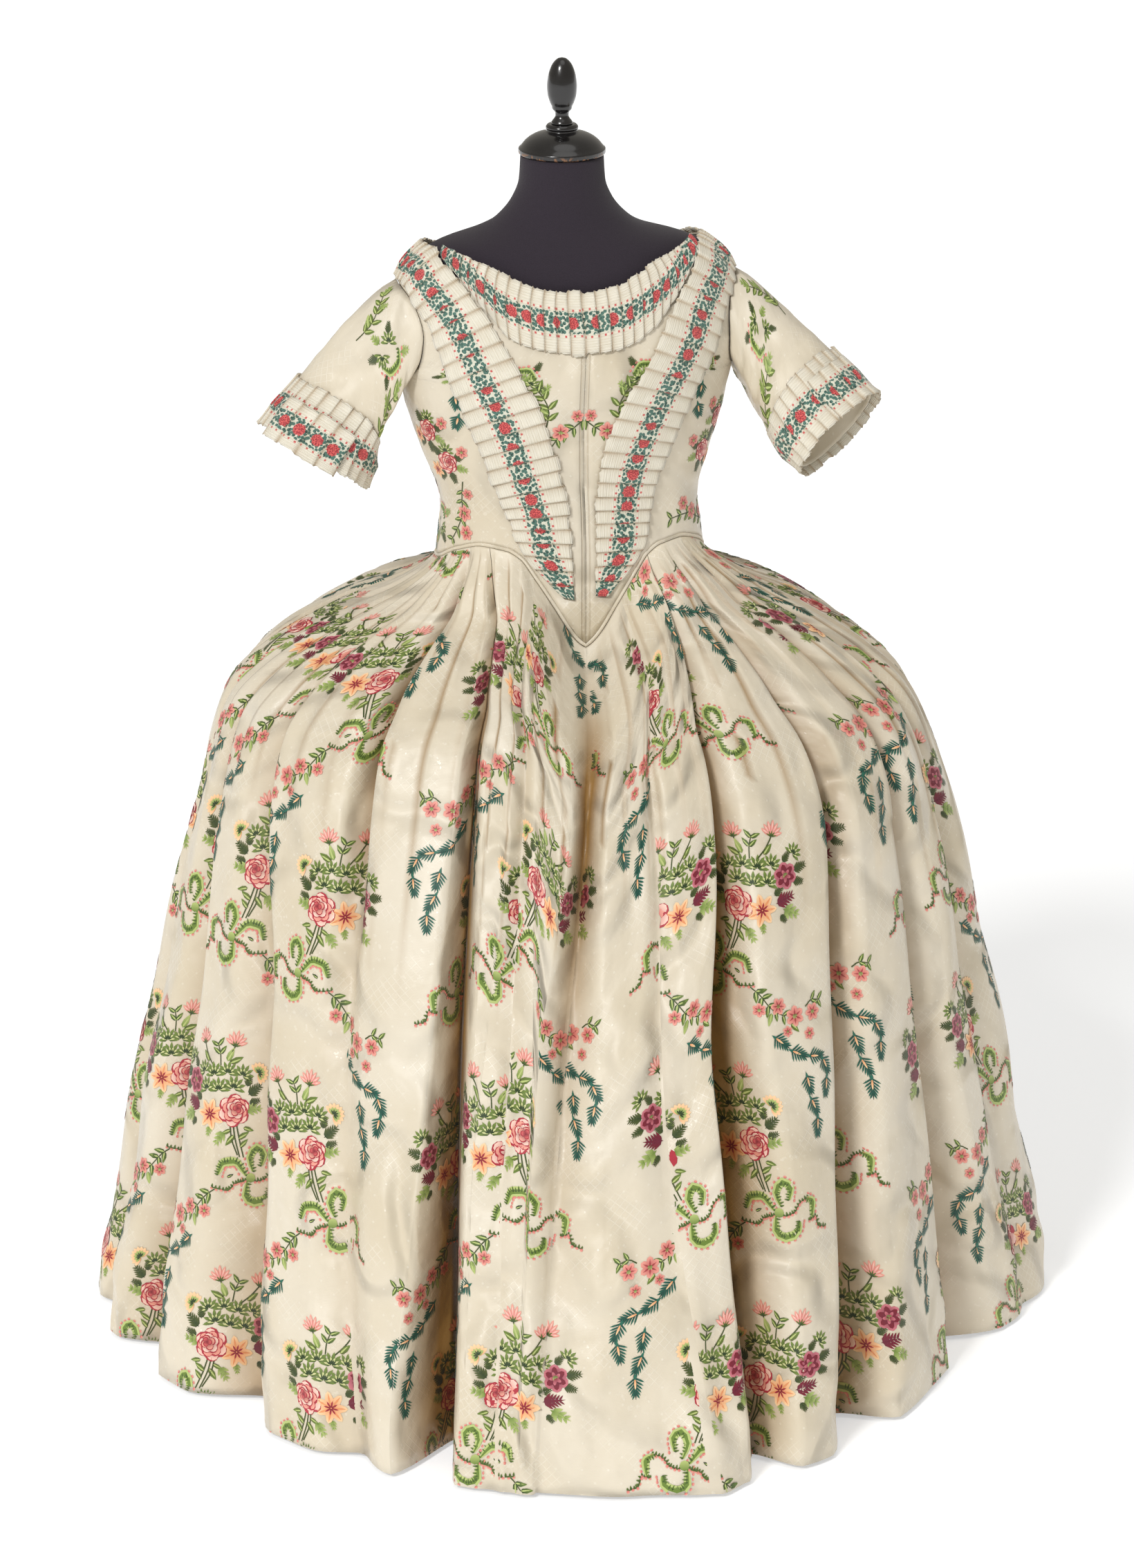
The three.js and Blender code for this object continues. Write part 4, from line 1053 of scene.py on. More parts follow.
# %% Skirt rows
DOME = table("z side front back pinch lean", """
0 600 657 652 35 55
87 588 636 634 32 50
224 562 592 598 28 38
361 537 546 558 22 28
517 502 488 508 16 16
670 463 422 462 9 6
740 443 380 440 6 0
802 415 334 413 3 0
852 363 275 363 0 0
897 295 215 300 0 0
937 226 170 238 0 0
1010 170 140 160 0 0
""")
DOME_SHIFT = table("z x", """
0 15
600 15
740 12
850 7
930 13
1000 8
""")
FOLD_COLUMNS = "waist hip knee hem hipDeep kneeDeep hemDeep kneeBack kneeFore hemBack hemFore"
FOLD_NAMES, FOLDS = named_table(FOLD_COLUMNS, """
backRight3 -166 -165 -164 -163 22 44 58 4 9 4 8
backRight2 -148 -147 -146 -145 24 38 52 4 9 4 9
pleatBackRight -134 -134 -133 -132 14 10 0 4 6 4 6
backRight1 -121 -121 -122 -122 22 36 55 5 9 5 8
sideSeamRight -103 -104 -104 -104 20 28 40 6 6 6 6
sideRight2 -88 -91 -88 -85 16 24 42 5 6 5 6
sideRight1 -76 -80 -72 -70 12 30 78 6 4 7 6
frontRight3 -64 -66 -55 -50 14 26 62 8 5 8 8
slitRight -50 -45 -38 -29 40 10 24 5 4 6 4
panelRight -37 -25 -22 -20 30 62 125 2.5 6 5 3.2
frontPleatRight -13 -13 -13 -12 10 6 0 4 4 4 4
underPoint 6 -1 -6 -8 40 20 0 5 6 6 6
frontPleatLeft 18 12 8 11 9 6 -24 4 4 8 3
panelLeft 31 26 17 17.5 34 74 60 2.5 8 2.8 4
frontLeft2 43 47 38 33 32 56 76 3.5 7 8 6
sideLeft1 55 63 59 63 30 44 54 3.5 7 8 8
sideLeft2 68 77 75 79 24 14 4 4 7 5 6
sideSeamLeft 84 93 94 97 18 26 44 5 6 6 6
sideLeft3 101 108 110 112 16 30 44 5 6 5 6
pleatBackLeft 120 122 122 122 14 10 0 4 5 4 4
backLeft1 135 134 135 135 22 38 52 9 4 9 4
backLeft2 152 151 151 151 24 40 56 9 4 8 4
backLeft3 167 166 166 165 24 40 48 9 4 8 4
centreBack 181 181 181 181 26 44 60 4 4 5 5
""")
LEVELS = np.array([0, 0.16, 0.55, 1.0])
HEM_Z = 6
SKIRT_TOP = 2 * PIPING_RADIUS + 1.1
FLARE, FLARE_POINT = 60, 0.4
LEAN_PEAK = 9.48
PLEAT_TIGHT = 0.55
COUNT = len(FOLD_NAMES)
down = np.linspace(0, 1, 96) ** 1.35


def at_levels(columns, down):
    return np.array([curve_through(LEVELS, [FOLDS[c][k] if c else 0 for c in columns], down)
                     for k in range(COUNT)])


def fold_state(down):
    here = at_levels(("waist", "hip", "knee", "hem"), down)
    before, after = np.roll(here, 1, 0), np.roll(here, -1, 0)
    before[0] -= 360
    after[-1] += 360
    back = at_levels(("kneeBack", "kneeBack", "kneeBack", "hemBack"), down)
    fore = at_levels(("kneeFore", "kneeFore", "kneeFore", "hemFore"), down)
    deep = at_levels((None, "hipDeep", "kneeDeep", "hemDeep"), down)
    tight = mix(PLEAT_TIGHT, 1, smoothstep(down, 0.12, 0.75))
    back, fore = back * tight, fore * tight
    return here, np.minimum(back, 0.46 * (here - before)), np.minimum(fore, 0.46 * (after - here)), deep


def dome_shift(z):
    return read(DOME_SHIFT, "z", "x", z) + STAND_X


def dome_radius(angle, z):
    s = np.sin(np.radians(angle)) ** 2
    c = 1 - s
    front = np.cos(np.radians(angle)) > 0
    depth = np.where(front, read(DOME, "z", "front", z), read(DOME, "z", "back", z))
    left_front = front & (np.sin(np.radians(angle)) > 0)
    lean = np.where(left_front, LEAN_PEAK * read(DOME, "z", "lean", z) * s**3 * c, 0)
    return read(DOME, "z", "side", z) * s + depth * c - 4 * read(DOME, "z", "pinch", z) * s * c - lean


def skirt_point(waist, angle, down, deep):
    body = np.where(waist > 180, waist - 360, waist)
    top = below_waist(body - math.degrees(BODY_TURN), SKIRT_TOP, EASE_CHEST + CLOTH)
    top_x = top[..., 0] - dome_shift(top[..., 2])
    z = mix(top[..., 2], HEM_Z, down)
    top_radius = np.hypot(top_x, top[..., 1])
    drop = FLARE + FLARE_POINT * np.maximum(0, 980 - top[..., 2])
    opening = np.sin(np.pi / 2 * np.minimum(1, (top[..., 2] - z) / drop))
    radius = mix(top_radius, dome_radius(angle, z), opening) - deep
    top_angle = np.degrees(np.arctan2(top_x, -top[..., 1]))
    turn = (top_angle - waist + 180) % 360 - 180
    a = np.radians(angle + turn * np.maximum(0, 1 - down / LEVELS[1]))
    return np.stack([dome_shift(z) + radius * np.sin(a), -radius * np.cos(a), z], axis=-1)


here, back, fore, deep = fold_state(down)
here0, back0, fore0, _ = fold_state(np.zeros(1))
SLOPE_REACH = np.linspace(0, 1, 7)
# How far in mm the silk of a lobe rounds off, sags, is dented, knife-pleated and crushed at the hem.
ROUNDED, SAG, DENT, KNIFE, CRUSH = 7.5, 2.2, 2.4, 6.0, 2.6
USUAL_RADIUS = 450


def lobe(k):
    """Waist angle, angle, depth and place across (-1 to 1) for every row of one lobe."""
    n = (k + 1) % COUNT
    wrap = 360 if n == 0 else 0
    reach = SLOPE_REACH[None]
    press = 0.4 * (1 - reach) + 0.3 * (1 + np.cos(np.pi * reach))
    rising = (here0[k] + reach * fore0[k], here[k][:, None] + reach * fore[k][:, None],
              press * deep[k][:, None])
    falling = (here0[n] + wrap - reach * back0[n], here[n][:, None] + wrap - reach * back[n][:, None],
               press * deep[n][:, None])
    t = np.linspace(0, 1, 14)[None, 1:-1]
    crest = tuple(mix(r[:, -1:], f[:, -1:], t) for r, f in zip(rising, falling))
    joined = []
    for r, c, f in zip(rising, crest, falling):
        parts = [np.broadcast_to(p, (len(down), p.shape[1])) for p in (r, c, f[:, ::-1])]
        joined.append(np.concatenate(parts, axis=1))
    waist, angle, depth = joined
    span = angle[:, -1:] - angle[:, :1]
    place = 2 * (angle - angle[:, :1]) / span - 1
    return waist, angle, depth, place, span


def lobe_patch(k):
    waist, angle, depth, place, span = lobe(k)
    fall = down[:, None]
    width = np.radians(span) * USUAL_RADIUS
    rounded = np.minimum(ROUNDED, 0.06 * width) * smoothstep(fall, 0.02, 0.4) * place**2
    sag = SAG * np.sin(fall * 23 + k * 1.7 + 2.2 * place) * smoothstep(fall, 0.1, 0.3)
    dent = DENT * np.sin(fall * 15 + 3.1 * place + 2.1 * k) * np.sin(fall * 8 - 2.3 * place + 1.3 * k)
    turn = place * 1.5 + 0.35 * k
    share = turn % 1.0
    fade = (1 - smoothstep(fall, 0.1, 0.34 + 0.2 * np.sin(2.6 * k) ** 2)) * smoothstep(fall, 0, 0.03)
    knife = KNIFE * (share - 0.5) * fade
    crush = CRUSH * np.sin(fall * 61 - 5 * place + k) * np.exp(-(((fall - 0.93) / 0.05) ** 2))
    inner = 1 - np.abs(place) ** 4
    pressed = depth / (26 + 50 * fall)
    depth = depth + rounded + (sag + dent * smoothstep(fall, 0.2, 0.5) + knife + crush) * inner
    # hollow is painted shade: deep folds grow dim, and a dark line is painted along each knife pleat's crease
    crease = np.exp(-(((1 - share) / 0.09) ** 2)) + 0.6 * np.exp(-((share / 0.05) ** 2))
    hollow = pressed**1.4 + 0.9 * crease * fade * inner * (share > 0.02)
    xyz = skirt_point(waist, angle, fall, depth) * MM
    arcs = arc(xyz, 1)
    middle = xyz.shape[1] // 2
    u = arcs - arcs[:, middle : middle + 1]
    fallen = arc(xyz, 0)[:, middle : middle + 1]
    v = fallen[-1] - fallen + 0 * u
    return Patch(xyz, np.stack([u, v], axis=-1), hollow)


lobes = [lobe_patch(k) for k in range(COUNT)]
reach_to = 0.0
for patch in lobes:
    patch.uv[..., 0] += reach_to - patch.uv[-1, 0, 0]
    reach_to = patch.uv[-1, -1, 0]
print("hem is", round(reach_to, 2), "m of silk, laid in", COUNT, "hollow folds")

# %% Skirt panels
SKIRT_PANELS = (
    ("skirt_front", "panelRight", "panelLeft"),
    ("skirt_side_left", "panelLeft", "sideSeamLeft"),
    ("skirt_back_left", "sideSeamLeft", "centreBack"),
    ("skirt_back_right", "centreBack", "sideSeamRight"),
    ("skirt_side_right", "sideSeamRight", "panelRight"),
)
SEAM = 0.25 * MM
for name, start, end in SKIRT_PANELS:
    first = FOLD_NAMES.index(start)
    count = (FOLD_NAMES.index(end) - first) % COUNT
    patches = [lobes[(first + k) % COUNT] for k in range(count)]
    middle_u = (patches[0].uv[-1, 0, 0] + patches[-1].uv[-1, -1, 0]) / 2
    if patches[-1].uv[-1, -1, 0] < patches[0].uv[-1, 0, 0]:
        middle_u += reach_to / 2
    turned_round = []
    for patch in patches:
        xyz, uv = patch.xyz.copy(), patch.uv.copy()
        if uv[-1, 0, 0] < patches[0].uv[-1, 0, 0] - 1e-6:
            uv[..., 0] += reach_to
        uv[..., 0] -= middle_u
        turned_round.append(Patch(xyz, uv, patch.hollow))
    begin, finish_at = turned_round[0].xyz, turned_round[-1].xyz
    begin[:, 0] += unit(begin[:, 1] - begin[:, 0]) * SEAM
    finish_at[:, -1] += unit(finish_at[:, -2] - finish_at[:, -1]) * SEAM
    sew(name, turned_round, SILK_CLOTH)

# %% [markdown]
# ## The brocaded flowers
# The pattern repeats every 0.29 m along the cloth and every 0.25 m across it, and every other row
# is turned over, left for right. A bunch has a rose, a star flower, a plum rosette, tulips on top,
# and shells of leaves between them. A green ribbon bow hangs under it, then a garland of small
# daisies and a teal feather. All of it is drawn flat from a few shapes: petals are circles pulled to
# a point, stems and ribbons are narrow grids bent along a path.

# %% Petals, bands and leaves
CRIMSON, ROSE_RED, ROSE_MID = srgb(122, 16, 36), srgb(176, 44, 60), srgb(216, 98, 98)
ROSE_PALE, ROSE_WHITE = srgb(240, 168, 150), srgb(250, 214, 198)
PLUM, PLUM_PALE = srgb(104, 24, 50), srgb(206, 118, 130)
PEACH, PEACH_DEEP = srgb(250, 214, 168), srgb(230, 152, 100)
PINK, PINK_DEEP = srgb(238, 166, 150), srgb(196, 92, 90)
GREEN, GREEN_DARK, GREEN_PALE = srgb(104, 130, 48), srgb(40, 60, 22), srgb(182, 196, 120)
OLIVE, TEAL, TEAL_DARK = srgb(84, 92, 34), srgb(34, 108, 88), srgb(8, 54, 46)
LEAF_CREAM, GREEN_MID = srgb(214, 212, 158), srgb(122, 144, 62)
LAYER = 0.09 * MM


def ahead_of(turn):
    """A step of 1 in a direction given in degrees from straight up."""
    return np.array([math.sin(math.radians(turn)), math.cos(math.radians(turn))])


def along_path(path, count):
    """Evenly counted points on a smooth path through a few points, and their directions."""
    path = np.array(path, float)
    places, t = np.linspace(0, 1, len(path)), np.linspace(0, 1, count)
    line = np.stack([curve_through(places, path[:, i], t) for i in (0, 1)], axis=-1)
    return line, unit(np.gradient(line, axis=0))


class Drawing:
    """A flat drawing in metres of cloth, with a colour at each corner. Sizes are given in mm,
    directions in degrees from straight up, and level says what lies on top."""

    def __init__(self):
        self.bm = bmesh.new()
        self.paint = self.bm.verts.layers.float_color.new("flower")
        self.level = 0
        self.made = 0

    def height(self):
        """Shapes of one level lie side by side; a quarter step keeps those that touch apart."""
        self.made += 1
        return (self.level + 0.25 * (self.made % 4)) * LAYER

    def colour(self, vert, low, high, t):
        t = min(max(t, 0.0), 1.0)
        vert[self.paint] = [a + (b - a) * t for a, b in zip(low, high)]

    def petal(self, at, turn, length, width, root, tip, point=0.0, sides=8):
        """A petal that starts at a place; point 1 makes it sharp."""
        lift = self.height()
        made = bmesh.ops.create_circle(self.bm, cap_ends=True, cap_tris=True, segments=sides, radius=1.0)
        move = Matrix.Translation((at[0], at[1], 0)) @ Matrix.Rotation(math.radians(-turn), 4, "Z")
        for v in made["verts"]:
            t = (v.co.y + 1) / 2
            x = v.co.x * width / 2 * (1 - point * t * t)
            self.colour(v, root, tip, t)
            v.co = move @ Vector((x, t * length, 0)) * MM + Vector((0, 0, lift))

    def disc(self, at, radius, low, high):
        self.petal((at[0], at[1] - radius), 0, 2 * radius, 2 * radius, low, high)

    def ring(self, at, count, reach, width, root, tip, start=0, point=0.2, sides=7, arc_of=360):
        """Petals side by side round a point, all the way or over part of a turn."""
        for i in range(count):
            self.petal(at, start + i * arc_of / count, reach, width, root, tip, point, sides)

    def rings(self, at, *rows):
        """Rings of petals on top of each other."""
        for row in rows:
            self.ring(at, *row)
            self.level += 1
        self.level -= len(rows)

    def band(self, path, width, edge, heart, narrows=0.0, steps=10):
        """A band or a stem along a path, with its own colour at its edges. It narrows to its end
        by a share of its width, or to both ends where that share is None."""
        lift = self.height()
        line, ahead = along_path(path, steps + 1)
        made = bmesh.ops.create_grid(self.bm, x_segments=steps, y_segments=2, size=1.0)
        for v in made["verts"]:
            i = round((v.co.x + 1) / 2 * steps)
            side = np.array([-ahead[i][1], ahead[i][0]])
            if narrows is None:
                full = math.sin(math.pi * (i + 0.4) / (steps + 0.8)) ** 0.7
            else:
                full = 1 - narrows * i / steps
            spot = line[i] + side * v.co.y * width / 2 * full
            self.colour(v, heart, edge, abs(v.co.y))
            v.co = Vector((spot[0], spot[1], 0)) * MM + Vector((0, 0, lift))

    def edging(self, path, offset, size, hand, low, high, point, step):
        """Small petals side by side along one edge of a path, every other one shorter."""
        length = np.linalg.norm(np.diff(np.array(path, float), axis=0), axis=1).sum()
        line, ahead = along_path(path, max(4, int(length / step)))
        for i, (spot, way) in enumerate(zip(line, ahead)):
            side = np.array([-way[1], way[0]]) * hand
            turn = math.degrees(math.atan2(side[0], side[1]))
            long = size * (1 if i % 2 else 0.78)
            self.petal(spot + side * offset, turn, long, step * 1.05, low, high, point, 6)

    def loop(self, path, width, hand=1):
        """A crescent of ribbon: pale outside, dark teeth inside, pink beads along its outer edge."""
        self.band(path, width, GREEN_PALE, GREEN_PALE, None, 8)
        self.edging(path, width * 0.42, 3.4, -hand, PINK_DEEP, PINK, 0.1, 4.2)
        self.level += 1
        self.band(path, width * 0.42, GREEN, GREEN, None, 8)
        self.edging(path, -width * 0.06, width * 0.62, hand, GREEN_DARK, GREEN, 0.8, 3.0)
        self.level -= 1

    def tail(self, path, hand=1):
        """A narrow end of ribbon seen on edge: dark teeth along one side, pink beads on the other."""
        self.edging(path, 0, 4.8, hand, GREEN_DARK, GREEN, 0.7, 3.2)
        self.edging(path, -0.4, 4.2, -hand, PINK_DEEP, PINK, 0.1, 4.0)
        self.band(path, 2.2, GREEN, GREEN_DARK, 0.3, 8)

    def fern(self, at, turn, length, leaflets=5, low=GREEN_DARK, high=OLIVE, broad=0.4):
        """A saw-edged leaf: pointed leaflets on both sides of a rib."""
        for i in range(leaflets):
            t = (i + 0.5) / leaflets
            foot = np.array(at) + ahead_of(turn) * length * t * 0.8
            size = length * 0.5 * (1 - 0.5 * t)
            for hand in (-1, 1):
                self.petal(foot, turn + hand * 44, size, size * broad, low, high, 0.8, 6)
        self.petal(at, turn, length, length * broad * 0.4, low, high, 0.9, 6)

    def oak(self, at, turn, length):
        """A broad lobed leaf, pale at its tips."""
        self.fern(at, turn, length, 3, GREEN, GREEN_PALE, 0.62)

    def leaf(self, at, turn, size, low=OLIVE, high=GREEN):
        """A smooth pointed leaf with a pale rib."""
        self.petal(at, turn, size, size * 0.52, low, high, 0.75)
        self.level += 1
        self.petal(at, turn + 4, size * 0.82, size * 0.16, GREEN_PALE, GREEN_PALE, 0.7, 6)
        self.level -= 1

    def leaves(self, stem, size, pairs, low=GREEN_DARK, high=GREEN):
        """A stem with leaves in pairs."""
        line, ahead = along_path(stem, pairs + 2)
        self.band(stem, 1.6, OLIVE, GREEN_DARK, 0.2, 6)
        for i, (spot, way) in enumerate(zip(line[1:], ahead[1:])):
            turn = math.degrees(math.atan2(way[0], way[1]))
            for hand in (-1, 1):
                self.leaf(spot, turn + hand * (46 + 8 * (i % 2)), size, low, high)

    def shell(self, at, turn, size):
        """A shell of leaf teeth round a pale heart, as the leaf scrolls between the flowers are."""
        self.rings(at, (7, size * 1.12, size * 0.44, GREEN_DARK, GREEN_MID, turn - 96, 0.55, 6, 224),
                   (6, size * 0.7, size * 0.2, GREEN_PALE, LEAF_CREAM, turn - 86, 0.2, 6, 210),
                   (6, size * 0.46, size * 0.2, GREEN_DARK, GREEN_DARK, turn - 75, 0.6, 5, 180))

    def daisy(self, at, radius, tilt=0):
        """Each petal has a dark line down its middle."""
        self.ring(at, 6, radius, radius * 0.72, PINK_DEEP, PINK, tilt, 0.0)
        self.level += 1
        self.ring(at, 6, radius * 0.78, radius * 0.2, CRIMSON, PINK_DEEP, tilt, 0.5, 4)
        self.disc(at, radius * 0.24, GREEN_PALE, OLIVE)
        self.level -= 1

    def plume(self, at, turn, length=30, barbs=6):
        """One link of the feather: long dark barbs on both sides of a peach heart."""
        at, up = np.array(at), ahead_of(turn)
        for i in range(barbs):
            foot = at + up * length * (0.1 + 0.66 * i / barbs)
            for hand in (-1, 1):
                self.petal(foot, turn + hand * (58 - 6 * i), 13.5 - 0.8 * i, 3.4, TEAL_DARK, TEAL, 0.8, 5)
        self.level += 1
        self.petal(at - up * 3, turn, length + 2, 4.4, TEAL, TEAL_DARK, 0.7)
        self.level += 1
        self.petal(at + up * 4, turn, length * 0.42, 3.0, PEACH_DEEP, PEACH, 0.4, 7)
        self.level -= 2


def each(shape, rows):
    """Draws one shape for every row of x, y and the shape's own numbers."""
    for x, y, *numbers in rows:
        shape((x, y), *numbers)


print("drawing tools are ready")


# %% The flowers of a bunch
def rose(d, x, y, radius):
    """Rings of broad petals, pale at the rim and crimson where each goes behind the next."""
    petals = ((6, 1.0, 0.98, ROSE_RED, ROSE_WHITE), (6, 0.8, 0.8, ROSE_RED, ROSE_PALE),
              (5, 0.62, 0.66, CRIMSON, ROSE_WHITE), (4, 0.44, 0.5, CRIMSON, ROSE_PALE),
              (3, 0.27, 0.34, CRIMSON, ROSE_MID))
    for step, (count, reach, wide, shadow, face) in enumerate(petals):
        heart = (x + radius * 0.06 * step, y + radius * 0.04 * step)
        reach, wide, start = reach * radius, wide * radius, step * 37
        d.level += 1
        d.ring(heart, count, reach + 0.9, wide, shadow, ROSE_RED, start, 0.0, 10)
        d.level += 1
        d.ring(heart, count, reach - 0.4, wide * 0.82, shadow, face, start + 6, 0.0, 10)
    d.level -= 2 * len(petals)


def tulip(d, x, y, lean, foot, size=17):
    """A cup of narrow petals on a stem, each petal striped pale and deep."""
    bend = ((x + foot[0]) / 2 - 2, (y + foot[1]) / 2)
    d.band([foot, bend, (x, y - 1)], 1.7, OLIVE, GREEN_DARK, 0.0, 6)
    for turn in range(-66, 67, 22):
        d.petal((x, y), lean + turn, size * (1.15 - abs(turn) / 300), 5.6, PINK_DEEP, PINK, 0.35)
    d.level += 1
    for turn in range(-66, 67, 22):
        d.petal((x, y), lean + turn, size * (1.0 - abs(turn) / 300), 2.4, ROSE_MID, ROSE_WHITE, 0.2, 6)
    d.level += 1
    for turn in range(-70, 71, 35):
        d.petal((x, y - 1), lean + turn, size * 0.45, 2.6, GREEN_DARK, GREEN, 0.7, 6)
    d.level -= 2


def half_flower(d, x, y, lean):
    """A flower seen from the side: a fringe of peach petals round a green toothed heart."""
    d.rings((x, y), (10, 14, 5.6, PEACH_DEEP, PEACH, lean - 96, 0.0, 8, 230),
            (8, 9.5, 4.4, GREEN, GREEN_PALE, lean - 90, 0.1, 6, 216),
            (6, 6.5, 2.6, GREEN_DARK, GREEN_DARK, lean - 80, 0.6, 5, 200))


def rosette(d, x, y, radius):
    d.rings((x, y), (6, radius, radius * 0.92, PLUM, PLUM_PALE, 10, 0.0, 9),
            (6, radius * 0.84, radius * 0.5, PLUM, CRIMSON, 10, 0.1, 8),
            (5, radius * 0.5, radius * 0.3, CRIMSON, PLUM_PALE, 30, 0.2))
    d.level += 2
    d.disc((x, y), radius * 0.22, GREEN_PALE, OLIVE)
    d.level -= 2


def star(d, x, y, radius):
    d.rings((x, y), (7, radius, radius * 0.58, PEACH_DEEP, PEACH, 10, 0.35, 8),
            (7, radius * 0.9, radius * 0.16, PEACH_DEEP, PEACH_DEEP, 10, 0.5, 5),
            (8, radius * 0.46, radius * 0.14, CRIMSON, ROSE_RED, 30, 0.4, 5))


def bunch(d):
    """Its rose is at the middle of the drawing; the rosette and the star lie to its left."""
    d.level = 0
    for stem in ([(0, -14), (4, -32), (13, -56)], [(4, -14), (10, -34), (18, -56)],
                 [(-4, -14), (0, -34), (10, -54)]):
        d.band(stem, 1.8, OLIVE, GREEN_DARK, 0.1, 6)
    each(d.leaf, ((9, -34, 52, 16), (12, -44, 40, 14), (3, -30, 215, 17), (14, -20, 100, 14),
                  (-2, -24, 240, 13)))
    each(d.oak, ((14, 2, 80, 24), (-60, -12, -116, 29), (-10, -26, -150, 23), (-30, -22, -170, 15)))
    each(d.fern, ((16, 20, 48, 24), (-78, 30, -80, 22), (-76, 18, -105, 19), (-64, 42, -44, 17),
                  (14, 30, 10, 17), (18, 10, 68, 17), (-48, 6, -60, 17), (-56, -18, -140, 15)))
    d.fern((-50, -4), -78, 30, 5, PLUM, CRIMSON)
    each(d.shell, ((-3, 28, 12, 14), (-22, 24, -8, 14), (-40, 22, -24, 14), (-12, 46, 6, 13),
                   (-30, 42, -12, 14), (7, 44, 28, 13), (-48, 42, -40, 13), (-80, 50, -50, 12)))
    d.leaves([(-22, 54), (-24, 68), (-28, 78)], 13, 1)
    each(d.leaf, ((-14, 60, 22, 19, GREEN, GREEN_PALE), (-10, 58, 62, 18), (-40, 56, -50, 17)))
    tulip(d, -6, 80, 8, (-10, 56))
    tulip(d, -54, 76, -22, (-32, 52))
    d.level = 1
    half_flower(d, 27, 48, 50)
    rosette(d, -66, 26, 16.5)
    d.level = 2
    star(d, -31, -8, 20)
    rose(d, 0, 0, 20)


def bow(d):
    d.level = 0
    d.loop([(24, -78), (8, -62), (-8, -66), (-12, -80)], 12, -1)
    d.loop([(32, -72), (26, -56), (34, -42), (44, -50), (42, -64)], 11, -1)
    d.loop([(26, -84), (26, -102), (38, -110), (54, -102), (56, -92)], 12, 1)
    d.loop([(66, -66), (76, -74), (74, -92)], 10, -1)
    d.leaf((0, -82), 60, 9, GREEN_DARK, GREEN_DARK)
    d.tail([(36, -84), (48, -80), (56, -70), (68, -66)])
    d.tail([(70, -94), (80, -92), (84, -104), (96, -108)])
    d.tail([(24, -84), (12, -88), (2, -98), (-18, -96)], -1)
    d.level = 2
    d.disc((30, -80), 6, GREEN, GREEN_PALE)


def scattered_daisies(d, *rows):
    """The larger daisies lie under the smaller ones."""
    for x, y, radius, tilt in rows:
        d.level = 1 if radius > 10 else 3
        d.daisy((x, y), radius, tilt)


def garland(d):
    d.level = 0
    d.leaves([(-14, -98), (-24, -106), (-36, -122)], 15, 2)
    d.leaves([(-36, -122), (-46, -132), (-56, -138)], 12, 1)
    d.leaves([(-88, -134), (-98, -128), (-108, -130)], 12, 1)
    each(d.leaf, ((-40, -132, 160, 16, GREEN, GREEN_PALE), (-66, -150, -140, 15)))
    scattered_daisies(d, (-24, -126, 9, 0), (-50, -126, 11, 20), (-72, -142, 13, 0),
                      (-98, -142, 11, 30), (-90, -166, 8, 10), (-60, -158, 7, 0))


def feather(d):
    d.level = 0
    each(d.plume, ((-40, -160, 228), (-60, -180, 240), (-84, -192, 258), (-106, -198, 205),
                   (-112, -222, 168), (-78, -212, 190), (-80, -240, 205), (-90, -264, 176)))


def drawn(*parts):
    """A finished drawing, as a flat mesh."""
    d = Drawing()
    for part in parts:
        part(d)
    return finished_mesh(d.bm, "drawing")


REPEAT = drawn(bunch, bow, garland, feather)
print("one repeat has", len(REPEAT.polygons), "faces")

# %% [markdown]
# ### Laying the flowers on the cloth
# A drawing is copied to its places on the uncut cloth, and each of its corners is looked up on the
# map to find the same thread on the folded cloth. What falls past the edge of a patch is cut off,
# as a pleat hides it.

# %% Looking up threads
class ThreadMap:
    """Finds where a point of the uncut cloth lies once its patch is folded."""

    def __init__(self, patch):
        rows, columns = patch.uv.shape[:2]
        index = np.arange(rows * columns).reshape(rows, columns)
        a, b, c, d = (index[:-1, :-1], index[:-1, 1:], index[1:, 1:], index[1:, :-1])
        halves = [np.stack(half, -1).reshape(-1, 3) for half in ((a, b, c), (a, c, d))]
        across, up = np.gradient(patch.xyz, axis=1), np.gradient(patch.xyz, axis=0)
        normal = unit(np.cross(across, up)).reshape(-1, 3)
        flat = np.concatenate([patch.uv, np.zeros((rows, columns, 1))], -1).reshape(-1, 3)
        self.flat = [Vector(p) for p in flat]
        self.space = [Vector(p) for p in patch.xyz.reshape(-1, 3)]
        self.normal = [Vector(n) for n in normal]
        self.hollow = patch.hollow.reshape(-1)
        self.corners = np.concatenate(halves).tolist()
        self.tree = BVHTree.FromPolygons(self.flat, self.corners, all_triangles=True)
        self.low, self.high = flat.min(0), flat.max(0)

    def place(self, u, v, lift, facing):
        """The place lifted off the cloth, and how hollow the cloth is there."""
        spot, _, index, _ = self.tree.find_nearest(Vector((u, v, 0)), OFF_THE_EDGE)
        if spot is None:
            return None, 0.0
        corners = self.corners[index]
        flat = [self.flat[i] for i in corners]
        point = barycentric_transform(spot, *flat, *(self.space[i] for i in corners))
        normal = barycentric_transform(spot, *flat, *(self.normal[i] for i in corners)).normalized()
        return point + normal * (lift * facing), float(self.hollow[corners].mean())


OUT_OF_CLOTH, OFF_THE_EDGE = 0.55 * MM, 0.5 * MM
REPEAT_ROOM, SPRIG_ROOM = (0.14, 0.3), (0.08, 0.08)


